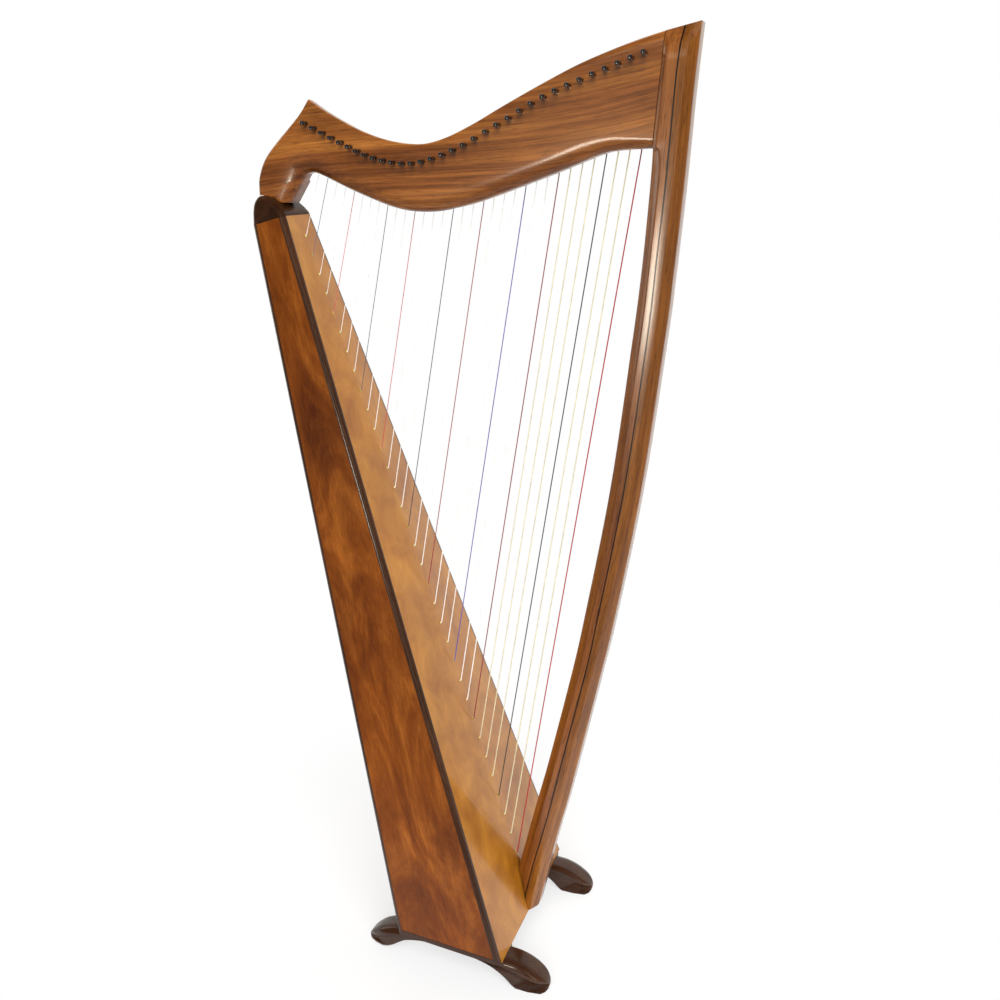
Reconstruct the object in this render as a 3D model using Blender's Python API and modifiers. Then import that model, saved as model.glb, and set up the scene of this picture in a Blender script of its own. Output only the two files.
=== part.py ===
"""Floor lever harp with 33 strings, as an assembly of its separate pieces.

Metres, +Z up. +X is the front of the harp (the pillar side), +Y the player's
left, where the strings run beside the neck, and -Y the player's right, where
the tuning pins have their drive ends. The origin is on the floor, under the
middle of the whole harp.
"""

import math

import bmesh
import bpy
from mathutils import Matrix, Vector

# ---------------------------------------------------------------- dimensions
X_SHIFT = 0.1272            # moves the front bottom edge of the box to its place
GAP = 0.0003                # between pieces that touch

BOX_BOTTOM = 0.0508         # underside of the soundbox above the floor
BOX_TOP = 1.2301            # top edge of the soundboard
FRONT_SLOPE = 0.3421        # the soundboard leans back by this much per metre
BACK_AT_BOTTOM = -0.192     # the back of the box at its underside
BACK_SLOPE = 0.2314
CUT_SLOPE = 0.27            # the top of the side panels rises to the front
FRONT_HALF = (0.1608, 0.0403)   # half width over the posts, bottom and top
BACK_HALF = (0.1550, 0.0387)
POST_DEPTH = 0.0088
POST_WIDTH = 0.0080
SIDE_THICK = 0.0060
BOARD_THICK = 0.0040
BACK_THICK = 0.0050
FLOOR_THICK = 0.0080
BELLY = 0.0069              # how far string pull has drawn the board forward
RIB_THICK = 0.0070

NECK_HALF = 0.0180          # half the thickness of the neck
PILLAR_HALF = 0.0220
PILLAR_FACE = 0.0120        # half width of the flat between the pillar's bevels
PILLAR_BEVEL = 0.0136
STRIPE_HALF = 0.0010        # half the thickness of the accent veneer
TOP_BEVEL = 0.0210

STRINGS = 33
FIRST_STRING = 0.0329       # from the top of the board to the first string
SPACING = 0.0303
SPACING_GROWTH = 0.0043
STRING_Y = 0.0262           # where the strings run beside the neck
PIN_RADIUS = 0.0032
PIN_NEAR = -0.0330
PIN_FAR = 0.0380
PIN_HOLE = 0.0038
EYELET_HOLE = 0.0016
BRIDGE_RADIUS = 0.0014
BRIDGE_LENGTH = 0.042       # from tuning pin to bridge pin

RAIL_Y = 0.1263
RAIL_HALF = 0.0213

# The side outlines, through a few points each: (x, z) from the front bottom
# edge of the soundbox.
NECK_BACK = [(-0.4610, 1.2589), (-0.4587, 1.2842), (-0.4456, 1.3119), (-0.4193, 1.3392),
             (-0.3805, 1.3733), (-0.3625, 1.3945)]
NECK_TOP = [(-0.3625, 1.3945), (-0.3319, 1.3762), (-0.2854, 1.3539), (-0.2519, 1.3422),
            (-0.2213, 1.3352), (-0.1958, 1.3325), (-0.1707, 1.3336), (-0.1383, 1.3425),
            (-0.0983, 1.3600), (-0.0570, 1.3810), (-0.0040, 1.4067), (0.0470, 1.4297),
            (0.0962, 1.4475), (0.1322, 1.4586), (0.1617, 1.4664)]
NECK_LOW = [(0.1523, 1.3260), (0.1110, 1.3239), (0.0856, 1.3198), (0.0523, 1.3078),
            (0.0208, 1.2957), (-0.0278, 1.2783), (-0.0951, 1.2554), (-0.1417, 1.2438),
            (-0.1655, 1.2398), (-0.1914, 1.2389), (-0.2174, 1.2411), (-0.2488, 1.2485),
            (-0.3045, 1.2683), (-0.3500, 1.2872), (-0.3680, 1.2925), (-0.3800, 1.2905)]
NECK_FOOT = [(-0.3877, 1.2793), (-0.4092, 1.2484), (-0.4213, 1.2484), (-0.4310, 1.2549),
             (-0.4425, 1.2589)]
BLOCK_TOP = [(-0.4121, 1.2409), (-0.4213, 1.2478), (-0.4310, 1.2543), (-0.4425, 1.2584),
             (-0.4485, 1.2575), (-0.4545, 1.2517), (-0.4585, 1.2438), (-0.4606, 1.2330)]
PILLAR_INNER = [(-0.0518, 0.0100), (-0.0198, 0.1462), (0.0109, 0.2842), (0.0287, 0.3629),
                (0.0624, 0.5276), (0.0807, 0.6307), (0.1140, 0.8500), (0.1371, 1.0734),
                (0.1452, 1.1678), (0.1505, 1.2612), (0.1530, 1.3252), (0.1558, 1.3760),
                (0.1589, 1.4250), (0.1622, 1.4700), (0.1650, 1.5100)]
PILLAR_STRIPE = [(-0.0230, 0.0100), (-0.0064, 0.0833), (0.0069, 0.1503), (0.0309, 0.2551),
                 (0.0551, 0.3757), (0.0901, 0.5497), (0.1050, 0.6396), (0.1370, 0.8500),
                 (0.1604, 1.0765), (0.1682, 1.1930), (0.1729, 1.2619), (0.1768, 1.3381),
                 (0.1805, 1.4202), (0.1862, 1.4750), (0.1900, 1.5100)]
PILLAR_FRONT = [(0.0040, 0.0100), (0.0178, 0.0717), (0.0439, 0.2059), (0.0633, 0.2928),
                (0.0796, 0.3755), (0.1086, 0.5260), (0.1293, 0.6394), (0.1603, 0.8500),
                (0.1831, 1.0764), (0.1896, 1.1636), (0.1957, 1.2619), (0.1985, 1.3227),
                (0.2010, 1.3840), (0.2030, 1.4204), (0.2066, 1.4761), (0.2090, 1.5100)]
PILLAR_TOP_AT = (0.1617, 1.4664)
PILLAR_TOP_SLOPE = 0.215
PIN_LINE = [(-0.3678, 1.3616), (-0.3083, 1.3348), (-0.2544, 1.3134), (-0.1938, 1.3061),
            (-0.1291, 1.3238), (-0.0623, 1.3564), (0.0036, 1.3907), (0.0710, 1.4168),
            (0.1379, 1.4410)]
RAIL_OUTLINE = [(0.0220, 0.0), (0.0650, 0.0), (0.0735, 0.0040), (0.0768, 0.0120),
                (0.0752, 0.0180), (0.0700, 0.0245), (0.0620, 0.0310), (0.0500, 0.0385),
                (0.0360, 0.0450), (0.0200, 0.0492), (0.0010, 0.0505), (-0.1924, 0.0505),
                (-0.2067, 0.0470), (-0.2210, 0.0420), (-0.2340, 0.0355), (-0.2440, 0.0280),
                (-0.2530, 0.0190), (-0.2595, 0.0090), (-0.2570, 0.0), (-0.2270, 0.0),
                (-0.2180, 0.0045), (-0.2065, 0.0120), (-0.1940, 0.0225), (-0.1780, 0.0325),
                (-0.1450, 0.0405), (-0.1000, 0.0410), (-0.0600, 0.0385), (-0.0300, 0.0330),
                (-0.0100, 0.0245), (0.0050, 0.0140), (0.0140, 0.0055)]

# Sound holes in the back: height of the middle, half width, half height.
SOUND_HOLES = [(1.000, 0.020, 0.048), (0.770, 0.032, 0.058), (0.520, 0.044, 0.066),
               (0.250, 0.054, 0.072)]
BRACES = [0.885, 0.650, 0.385]
STRING_SETS = [("treble_strings", 0, 9), ("upper_middle_strings", 9, 18),
               ("lower_middle_strings", 18, 26), ("bass_strings", 26, 33)]

# ---------------------------------------------------------------- scene set-up
for old in list(bpy.data.objects):
    bpy.data.objects.remove(old, do_unlink=True)

HARP = bpy.data.collections.new("lever_harp")
CUTTERS = bpy.data.collections.new("cutters")
bpy.context.scene.collection.children.link(HARP)
bpy.context.scene.collection.children.link(CUTTERS)

MATERIALS = {}


def material(name, color, roughness, metallic=0.0):
    if name not in MATERIALS:
        made = bpy.data.materials.new(name)
        made.use_nodes = True
        shader = made.node_tree.nodes["Principled BSDF"]
        shader.inputs["Base Color"].default_value = (*color, 1.0)
        shader.inputs["Roughness"].default_value = roughness
        shader.inputs["Metallic"].default_value = metallic
        made.diffuse_color = (*color, 1.0)
        MATERIALS[name] = made
    return MATERIALS[name]


def frame_wood():
    return material("frame_wood", (0.31, 0.12, 0.045), 0.32)


def side_wood():
    return material("side_wood", (0.19, 0.055, 0.016), 0.34)


def dark_wood():
    return material("dark_wood", (0.045, 0.018, 0.010), 0.30)


def board_wood():
    return material("board_wood", (0.48, 0.23, 0.075), 0.38)


def inner_wood():
    return material("inner_wood", (0.60, 0.44, 0.26), 0.60)


def veneer():
    return material("veneer", (0.035, 0.022, 0.015), 0.35)


def pin_steel():
    return material("pin_steel", (0.020, 0.020, 0.022), 0.25, 0.9)


def nylon():
    return material("nylon", (0.80, 0.78, 0.72), 0.25)


def steel():
    return material("steel", (0.45, 0.45, 0.46), 0.35, 1.0)


# ---------------------------------------------------------------- shape tools
def link(obj, collection=None):
    (collection or HARP).objects.link(obj)
    return obj


def finish(obj, mat, smooth_angle=None):
    obj.data.materials.clear()
    obj.data.materials.append(mat)
    if smooth_angle is not None:
        obj.data.shade_smooth()
        obj.data.set_sharp_from_angle(angle=math.radians(smooth_angle))
    return obj


def catmull(points, steps):
    """Points along a smooth curve through the given ones."""
    first = (2 * points[0][0] - points[1][0], 2 * points[0][1] - points[1][1])
    last = (2 * points[-1][0] - points[-2][0], 2 * points[-1][1] - points[-2][1])
    ring = [first, *points, last]
    out = []
    for i in range(1, len(ring) - 2):
        p0, p1, p2, p3 = ring[i - 1:i + 3]
        for k in range(steps):
            t = k / steps
            out.append(tuple(
                0.5 * (2 * p1[a] + (p2[a] - p0[a]) * t
                       + (2 * p0[a] - 5 * p1[a] + 4 * p2[a] - p3[a]) * t * t
                       + (3 * p1[a] - p0[a] - 3 * p2[a] + p3[a]) * t ** 3)
                for a in (0, 1)))
    out.append(tuple(points[-1]))
    return out


def curve_x(points):
    """x as a function of z along a smooth curve, read by height."""
    fine = catmull(points, 12)

    def at(z):
        for (xa, za), (xb, zb) in zip(fine, fine[1:]):
            if za <= z <= zb:
                return xa + (xb - xa) * (z - za) / max(zb - za, 1e-9)
        return fine[0][0] if z < fine[0][1] else fine[-1][0]
    return at


def mesh_from_curve(curve_obj, name):
    """A mesh object with the shape of a curve object, caps welded."""
    bpy.context.view_layer.update()
    graph = bpy.context.evaluated_depsgraph_get()
    mesh = bpy.data.meshes.new_from_object(curve_obj.evaluated_get(graph))
    mesh.name = name
    edit = bmesh.new()
    edit.from_mesh(mesh)
    bmesh.ops.remove_doubles(edit, verts=edit.verts, dist=0.00002)
    bmesh.ops.recalc_face_normals(edit, faces=edit.faces)
    edit.to_mesh(mesh)
    edit.free()
    obj = bpy.data.objects.new(name, mesh)
    obj.matrix_world = curve_obj.matrix_world
    data = curve_obj.data
    bpy.data.objects.remove(curve_obj, do_unlink=True)
    bpy.data.curves.remove(data)
    return obj


def outline_solid(name, points, half, y_middle=0.0):
    """A flat outline in the side view, given thickness across the harp."""
    data = bpy.data.curves.new(name + "_outline", "CURVE")
    data.dimensions = "2D"
    data.fill_mode = "BOTH"
    data.extrude = half
    spline = data.splines.new("POLY")
    spline.points.add(len(points) - 1)
    for point, (x, z) in zip(spline.points, points):
        point.co = (x + X_SHIFT, z, 0.0, 1.0)
    spline.use_cyclic_u = True
    curve = bpy.data.objects.new(name + "_outline", data)
    curve.rotation_euler = (math.radians(90), 0, 0)
    curve.location = (0, y_middle, 0)
    link(curve, CUTTERS)
    return link(mesh_from_curve(curve, name))


def loft(name, rings):
    """A solid through closed rings of equally many points, bottom to top."""
    edit = bmesh.new()
    made = [[edit.verts.new((x + X_SHIFT, y, z)) for x, y, z in ring] for ring in rings]
    count = len(made[0])
    for low, high in zip(made, made[1:]):
        for i in range(count):
            j = (i + 1) % count
            edit.faces.new((low[i], low[j], high[j], high[i]))
    edit.faces.new(list(reversed(made[0])))
    edit.faces.new(made[-1])
    bmesh.ops.recalc_face_normals(edit, faces=edit.faces)
    mesh = bpy.data.meshes.new(name)
    edit.to_mesh(mesh)
    edit.free()
    return link(bpy.data.objects.new(name, mesh))


def rods(name, items, sides, collection=None):
    """Round rods from point to point, as one cutter or one piece of stock."""
    edit = bmesh.new()
    for start, end, radius in items:
        a, b = Vector(start), Vector(end)
        turn = (b - a).to_track_quat("Z", "Y").to_matrix().to_4x4()
        bmesh.ops.create_cone(
            edit, cap_ends=True, segments=sides, radius1=radius, radius2=radius,
            depth=(b - a).length, matrix=Matrix.Translation((a + b) / 2) @ turn)
    for vert in edit.verts:
        vert.co.x += X_SHIFT
    mesh = bpy.data.meshes.new(name)
    edit.to_mesh(mesh)
    edit.free()
    obj = link(bpy.data.objects.new(name, mesh), collection or CUTTERS)
    if obj.name in CUTTERS.objects:
        obj.hide_render = True
        obj.display_type = "WIRE"
    return obj


def boolean(obj, other, operation="DIFFERENCE"):
    modifier = obj.modifiers.new(operation.lower() + "_" + other.name, "BOOLEAN")
    modifier.operation = operation
    modifier.object = other
    modifier.solver = "EXACT"


def bevel_rim(obj, width, segments, chosen):
    """Bevels the rim edges of a flat piece that the chooser accepts."""
    edit = bmesh.new()
    edit.from_mesh(obj.data)
    layer = edit.edges.layers.float.get("bevel_weight_edge") or edit.edges.layers.float.new(
        "bevel_weight_edge")
    for edge in edit.edges:
        a, b = edge.verts[0].co, edge.verts[1].co
        on_rim = abs(a.z - b.z) < 1e-5 and len(edge.link_faces) == 2 and (
            abs(edge.link_faces[0].normal.dot(edge.link_faces[1].normal)) < 0.3)
        edge[layer] = 1.0 if on_rim and chosen((a.x + b.x) / 2 - X_SHIFT, (a.y + b.y) / 2) else 0.0
    edit.to_mesh(obj.data)
    edit.free()
    modifier = obj.modifiers.new("edges", "BEVEL")
    modifier.width = width
    modifier.segments = segments
    modifier.limit_method = "WEIGHT"
    modifier.use_clamp_overlap = True


# ---------------------------------------------------------------- the box
def front_x(z):
    return -FRONT_SLOPE * (z - BOX_BOTTOM)


def back_x(z):
    return BACK_AT_BOTTOM - BACK_SLOPE * (z - BOX_BOTTOM)


def up(z):
    return (z - BOX_BOTTOM) / (BOX_TOP - BOX_BOTTOM)


def front_half(z):
    return FRONT_HALF[0] + (FRONT_HALF[1] - FRONT_HALF[0]) * up(z)


def back_half(z):
    return BACK_HALF[0] + (BACK_HALF[1] - BACK_HALF[0]) * up(z)


def side_y(x, z):
    part = (x - back_x(z)) / (front_x(z) - back_x(z))
    return back_half(z) + (front_half(z) - back_half(z)) * part


def belly(z, across=0.0):
    t = 1.0 - up(z)
    return BELLY * 4 * max(t * (1 - t), 0.0) * (1 - across * across)


def cut_z(x):
    return BOX_TOP + CUT_SLOPE * (x - front_x(BOX_TOP))


def on_cut(corner):
    """Where a corner line of the box meets the slanted top cut."""
    z = BOX_TOP
    for _ in range(40):
        z = cut_z(corner(z)[0])
    return z


def box_piece(name, corners, heights):
    """A piece that runs up the box: its corners are functions of height."""
    rings = [[(*corner(z), z) for corner in corners] for z in heights]
    top = []
    for corner in corners:
        z = on_cut(corner)
        top.append((*corner(z), z))
    rings.append(top)
    return loft(name, rings)


def corner_post(name, side, at_front):
    corners = []
    for k in range(5):
        turn = math.radians(90 * k / 4)
        deep = POST_DEPTH * (1 - math.cos(turn))
        wide = POST_WIDTH * (1 - math.sin(turn))
        if at_front:
            corners.append(lambda z, d=deep, w=wide: (front_x(z) - d, side * (front_half(z) - w)))
        else:
            corners.append(lambda z, d=deep, w=wide: (back_x(z) + d, side * (back_half(z) - w)))
    if at_front:
        corners.append(lambda z: (front_x(z) - POST_DEPTH, side * (front_half(z) - POST_WIDTH)))
    else:
        corners.append(lambda z: (back_x(z) + POST_DEPTH, side * (back_half(z) - POST_WIDTH)))
    return finish(box_piece(name, corners, [BOX_BOTTOM]), dark_wood(), 40)


for side, word in ((-1, "right"), (1, "left")):
    corner_post("front_corner_post_" + word, side, True)
    corner_post("back_corner_post_" + word, side, False)
    inset = POST_DEPTH + GAP

    def outer_front(z, s=side, d=inset):
        x = front_x(z) - d
        return x, s * side_y(x, z)

    def outer_back(z, s=side, d=inset):
        x = back_x(z) + d
        return x, s * side_y(x, z)

    def inner_front(z, s=side, d=inset):
        x = front_x(z) - d
        return x, s * (side_y(x, z) - SIDE_THICK)

    def inner_back(z, s=side, d=inset):
        x = back_x(z) + d
        return x, s * (side_y(x, z) - SIDE_THICK)

    finish(box_piece("side_panel_" + word,
                     [outer_front, outer_back, inner_back, inner_front],
                     [BOX_BOTTOM + FLOOR_THICK + GAP]), side_wood())

# Soundboard, drawn forward in the middle by the strings.
ACROSS = (-1.0, -0.5, 0.0, 0.5, 1.0)


def board_half(z):
    return front_half(z) - POST_WIDTH - GAP


def board_front(v):
    return lambda z: (front_x(z) + belly(z, v), v * board_half(z))


def board_back(v):
    return lambda z: (front_x(z) + belly(z, v) - BOARD_THICK * 1.057, v * board_half(z))


LEVELS = [BOX_BOTTOM + (BOX_TOP - BOX_BOTTOM) * k / 9 for k in range(9)]
soundboard = finish(box_piece(
    "soundboard", [board_front(v) for v in ACROSS] + [board_back(v) for v in reversed(ACROSS)],
    LEVELS), board_wood(), 30)

# Back panel with its sound holes.
back_panel = finish(box_piece("back_panel", [
    lambda z: (back_x(z), -(back_half(z) - POST_WIDTH - GAP)),
    lambda z: (back_x(z), back_half(z) - POST_WIDTH - GAP),
    lambda z: (back_x(z) + BACK_THICK, back_half(z) - POST_WIDTH - GAP),
    lambda z: (back_x(z) + BACK_THICK, -(back_half(z) - POST_WIDTH - GAP))],
    [BOX_BOTTOM]), side_wood())
hole_edit = bmesh.new()
for z, half_wide, half_high in SOUND_HOLES:
    place = (Matrix.Translation((back_x(z) + 0.002 + X_SHIFT, 0, z))
             @ Matrix.Rotation(-math.atan(BACK_SLOPE), 4, "Y")
             @ Matrix.Diagonal((1.0, half_wide, half_high, 1.0))
             @ Matrix.Rotation(math.radians(90), 4, "Y"))
    bmesh.ops.create_cone(hole_edit, cap_ends=True, segments=24, radius1=1.0, radius2=1.0,
                          depth=0.03, matrix=place)
hole_mesh = bpy.data.meshes.new("sound_hole_cutter")
hole_edit.to_mesh(hole_mesh)
hole_edit.free()
sound_hole_cutter = link(bpy.data.objects.new("sound_hole_cutter", hole_mesh), CUTTERS)
sound_hole_cutter.hide_render = True
sound_hole_cutter.display_type = "WIRE"
boolean(back_panel, sound_hole_cutter)

# Bottom board, between the posts, out to the sides.
low, high = BOX_BOTTOM, BOX_BOTTOM + FLOOR_THICK
ring_low, ring_high = [], []
for z, ring in ((low, ring_low), (high, ring_high)):
    x_front = front_x(z) - POST_DEPTH - GAP
    x_back = back_x(z) + POST_DEPTH + GAP
    for x, s in ((x_front, -1), (x_front, 1), (x_back, 1), (x_back, -1)):
        ring.append((x, s * side_y(x, z), z))
finish(loft("bottom_board", [ring_low, ring_high]), dark_wood())

# Braces across the inside of the back, and the block behind the pillar's foot.
for word, z_mid in zip(("upper", "middle", "lower"), BRACES):
    rings = []
    for z in (z_mid - 0.007, z_mid + 0.007):
        x0 = back_x(z) + BACK_THICK + GAP + 0.0046
        x1 = x0 + 0.014
        rings.append([(x0, -(side_y(x0, z) - SIDE_THICK - GAP), z),
                      (x1, -(side_y(x1, z) - SIDE_THICK - GAP), z),
                      (x1, side_y(x1, z) - SIDE_THICK - GAP, z),
                      (x0, side_y(x0, z) - SIDE_THICK - GAP, z)])
    finish(loft("back_brace_" + word, rings), inner_wood())

BLOCK_LOW, BLOCK_HIGH = BOX_BOTTOM + FLOOR_THICK + GAP, 0.120
rings = []
for z in (BLOCK_LOW, BLOCK_HIGH):
    x1 = front_x(z) - BOARD_THICK * 1.057 - GAP - 0.0001
    x0 = front_x(z) - 0.048
    rings.append([(x0, -0.045, z), (x1, -0.045, z), (x1, 0.045, z), (x0, 0.045, z)])
base_block = finish(loft("base_block", rings), inner_wood())

# ---------------------------------------------------------------- top block
block_points = [(front_x(BOX_TOP), BOX_TOP + GAP), (front_x(1.2335), 1.2335)]
block_points += catmull(BLOCK_TOP, 2)
back_top = on_cut(lambda z: (back_x(z), 0))
block_points.append((back_x(back_top + GAP), back_top + GAP))
top_block = outline_solid("top_block", block_points, FRONT_HALF[1] - 0.0006)
bevel_rim(top_block, 0.0065, 2, lambda x, z: z > 1.2315)
finish(top_block, dark_wood(), 40)

# ---------------------------------------------------------------- strings' places
BOARD_LENGTH = math.hypot(front_x(BOX_TOP), BOX_TOP - BOX_BOTTOM)
BOARD_NORMAL = Vector((1.0, 0.0, FRONT_SLOPE)).normalized()


def eyelet(i):
    """Middle of eyelet i on the front of the soundboard, from the top."""
    along = FIRST_STRING + SPACING * i + SPACING_GROWTH * i * i / 32
    z = BOX_TOP - (BOX_TOP - BOX_BOTTOM) * along / BOARD_LENGTH
    return Vector((front_x(z) + belly(z), 0.0, z))


PIN_POINTS = catmull(PIN_LINE, 4)


def tuning_pin_at(i):
    return PIN_POINTS[i]


def string_radius(i):
    return 0.00036 + 0.00042 * (i / 32) ** 1.5


def string_run(i):
    """(knot, eyelet, bridge, end) of string i, and its bridge pin's middle."""
    at = eyelet(i)
    px, pz = tuning_pin_at(i)
    radius = string_radius(i)
    end = Vector((px + PIN_RADIUS + 0.0005 + radius, STRING_Y + 0.0030, pz))
    low = at + BOARD_NORMAL * 0.0030
    reach = (end - low).length
    along = (end - low) / reach
    side = Vector((along.z, 0.0, -along.x)).normalized()
    bridge = low + along * (reach - BRIDGE_LENGTH) + side * 0.0022
    bridge.y = STRING_Y
    knot = at - BOARD_NORMAL * (BOARD_THICK + RIB_THICK + 0.0035)
    pin = bridge - side * (BRIDGE_RADIUS + radius + 0.0005)
    return knot, low, bridge, end, pin


# ---------------------------------------------------------------- rib under the board
RIB_TOP_Z, RIB_LOW_Z = 1.2060, 0.1270


def rib_corner(outer, deep):
    def at(z):
        wide = 0.009 + 0.012 * (1 - up(z))
        return (front_x(z) + belly(z) - (BOARD_THICK + deep) * 1.057 - GAP * 1.2, outer * wide)
    return at


rib_rings = []
for k in range(9):
    z = RIB_LOW_Z + (RIB_TOP_Z - RIB_LOW_Z) * k / 8
    # The rib is flat across while the board is crowned, so it stands off by the crown's fall.
    wide = 0.009 + 0.012 * (1 - up(z))
    fall = belly(z) * (wide / board_half(z)) ** 2 + 0.00035
    shape = []
    for outer, deep in ((-1, 0.0), (1, 0.0), (1, RIB_THICK), (-1, RIB_THICK)):
        x, y = rib_corner(outer, deep)(z)
        shape.append((x - fall, y, z))
    rib_rings.append(shape)
string_rib = finish(loft("string_rib", rib_rings), inner_wood())

eyelet_items = []
for i in range(STRINGS):
    at = eyelet(i)
    eyelet_items.append((tuple(at + BOARD_NORMAL * 0.006), tuple(at - BOARD_NORMAL * 0.022),
                         EYELET_HOLE))
eyelet_cutter = rods("eyelet_cutter", eyelet_items, 6)
boolean(soundboard, eyelet_cutter)
boolean(string_rib, eyelet_cutter)

# ---------------------------------------------------------------- strings
for set_name, first, last in STRING_SETS:
    knot_strip = []
    runs = [string_run(i) for i in range(first, last)]
    top_knot, low_knot = runs[0][0], runs[-1][0]
    for (knot, *_rest) in (runs[0], runs[len(runs) // 2], runs[-1]):
        knot_strip.append(knot)
    # A thin strip under the rib that the strings' knots bear on.
    rings = []
    samples = 5
    for k in range(samples):
        i = first + (last - 1 - first) * k / (samples - 1)
        along = FIRST_STRING + SPACING * i + SPACING_GROWTH * i * i / 32
        along += (-0.006 if k == 0 else 0.006 if k == samples - 1 else 0.0)
        z = BOX_TOP - (BOX_TOP - BOX_BOTTOM) * along / BOARD_LENGTH
        middle = Vector((front_x(z) + belly(z), 0, z)) - BOARD_NORMAL * (BOARD_THICK + RIB_THICK + 0.0035)
        deep, wide = 0.0010, 0.0030
        rings.append([(middle.x + deep * u * BOARD_NORMAL.x, v * wide, middle.z + deep * u * BOARD_NORMAL.z)
                      for u, v in ((-1, -1), (1, -1), (1, 1), (-1, 1))])
    strings = loft(set_name, rings)
    tube_objects = []
    for i in range(first, last):
        knot, low, bridge, end, _ = string_run(i)
        data = bpy.data.curves.new("string_%02d" % (i + 1), "CURVE")
        data.dimensions = "3D"
        data.bevel_depth = string_radius(i)
        data.bevel_resolution = 0
        data.use_fill_caps = True
        spline = data.splines.new("POLY")
        points = [knot, low - BOARD_NORMAL * 0.0006, low + (bridge - low).normalized() * 0.0012, bridge, end]
        spline.points.add(len(points) - 1)
        for point, place in zip(spline.points, points):
            point.co = (place.x + X_SHIFT, place.y, place.z, 1.0)
        curve = link(bpy.data.objects.new("string_%02d" % (i + 1), data), CUTTERS)
        tube_objects.append(mesh_from_curve(curve, "string_%02d_stock" % (i + 1)))
    edit = bmesh.new()
    for tube in tube_objects:
        edit.from_mesh(tube.data)
        mesh = tube.data
        bpy.data.objects.remove(tube, do_unlink=True)
        bpy.data.meshes.remove(mesh)
    stock_mesh = bpy.data.meshes.new(set_name + "_stock")
    edit.to_mesh(stock_mesh)
    edit.free()
    stock = link(bpy.data.objects.new(set_name + "_stock", stock_mesh), CUTTERS)
    stock.hide_render = True
    stock.display_type = "WIRE"
    boolean(strings, stock, "UNION")
    finish(strings, nylon(), 40)

# ---------------------------------------------------------------- neck
neck_points = (catmull(NECK_BACK, 2)[:-1] + catmull(NECK_TOP, 2) + catmull(NECK_LOW, 2)
               + NECK_FOOT)
neck = outline_solid("neck", neck_points, NECK_HALF)
bevel_rim(neck, 0.0045, 1, lambda x, z: x < 0.150 and not (z < 1.2595 and x < -0.395))
pin_holes = []
bridge_pins = []
for i in range(STRINGS):
    px, pz = tuning_pin_at(i)
    pin_holes.append(((px, -0.03, pz), (px, 0.03, pz), PIN_HOLE))
    middle = string_run(i)[4]
    bridge_pins.append(((middle.x, NECK_HALF - 0.006, middle.z), (middle.x, 0.0290, middle.z),
                        BRIDGE_RADIUS))
boolean(neck, rods("pin_hole_cutter", pin_holes, 8))
boolean(neck, rods("bridge_pin_stock", bridge_pins, 6), "UNION")
finish(neck, frame_wood(), 30)

# ---------------------------------------------------------------- pillar
inner_x = curve_x(PILLAR_INNER)
stripe_x = curve_x(PILLAR_STRIPE)
outer_x = curve_x(PILLAR_FRONT)


def pillar_top(x):
    return PILLAR_TOP_AT[1] + PILLAR_TOP_SLOPE * (x - PILLAR_TOP_AT[0])


def board_limit(z):
    """The front of the soundboard, which the pillar's foot is fitted to."""
    return front_x(z) + belly(z) + 0.0004


def at_top(line, fall):
    z = PILLAR_TOP_AT[1]
    for _ in range(40):
        z = pillar_top(line(z)) - fall
    return z


def inner_edge(z):
    free = inner_x(z)
    if z > 1.3255:
        free = max(free, neck_end(z) + GAP)
    return max(free, board_limit(z))


def neck_end(z):
    (xa, za), (xb, zb) = NECK_LOW[0], NECK_TOP[-1]
    return xa + (xb - xa) * (z - za) / (zb - za)


def bevels(z):
    """(width, depth) of the inner bevel: wide below the neck, slight beside it."""
    wide = (PILLAR_BEVEL, PILLAR_HALF - PILLAR_FACE)
    slight = (0.0055, PILLAR_HALF - NECK_HALF)
    if z <= 1.300:
        return wide
    if z >= 1.326:
        return slight
    part = (z - 1.300) / 0.026
    return tuple(a + (b - a) * part * part for a, b in zip(wide, slight))


INNER_LEVELS = [0.090, 0.110, 0.130, 0.1500, 0.200, 0.280, 0.370, 0.460, 0.550, 0.650, 0.760,
                0.870, 0.980, 1.080, 1.170, 1.240, 1.300, 1.313, 1.3262, 1.380, 1.420]
OUTER_LEVELS = [0.0560, 0.0600, 0.0680, 0.090, 0.120, 0.150, 0.200, 0.280, 0.370, 0.460, 0.550,
                0.650, 0.760, 0.870, 0.980, 1.080, 1.170, 1.250, 1.330, 1.400]


def section_inner(z_of, squeeze=1.0):
    """Inner lamination's ring: z_of gives each corner line its own height."""
    z = z_of(inner_edge)
    x0 = inner_edge(z)
    zs = z_of(lambda q: stripe_x(q) - STRIPE_HALF - GAP)
    x1 = stripe_x(zs) - STRIPE_HALF - GAP
    wide, deep = bevels(z)
    wide = min(wide, 0.6 * (x1 - x0))
    zb = z_of(lambda q: inner_edge(q) + wide)
    y_edge = (PILLAR_HALF - deep) * squeeze
    y_face = PILLAR_HALF * squeeze
    if squeeze < 1.0:
        y_edge = min(y_edge, y_face)
    return [(x0, -y_edge, z), (x0 + wide, -y_face, zb), (x1, -y_face, zs),
            (x1, y_face, zs), (x0 + wide, y_face, zb), (x0, y_edge, z)]


TOP_SQUEEZE = PILLAR_FACE / PILLAR_HALF
rings = [section_inner(lambda line, z=z: z) for z in INNER_LEVELS]
rings.append(section_inner(lambda line: at_top(line, TOP_BEVEL)))
rings.append(section_inner(lambda line: at_top(line, 0.0), TOP_SQUEEZE))
pillar_inner = finish(loft("pillar_inner_lamination", rings), frame_wood())

stripe_start = 0.0760


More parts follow.
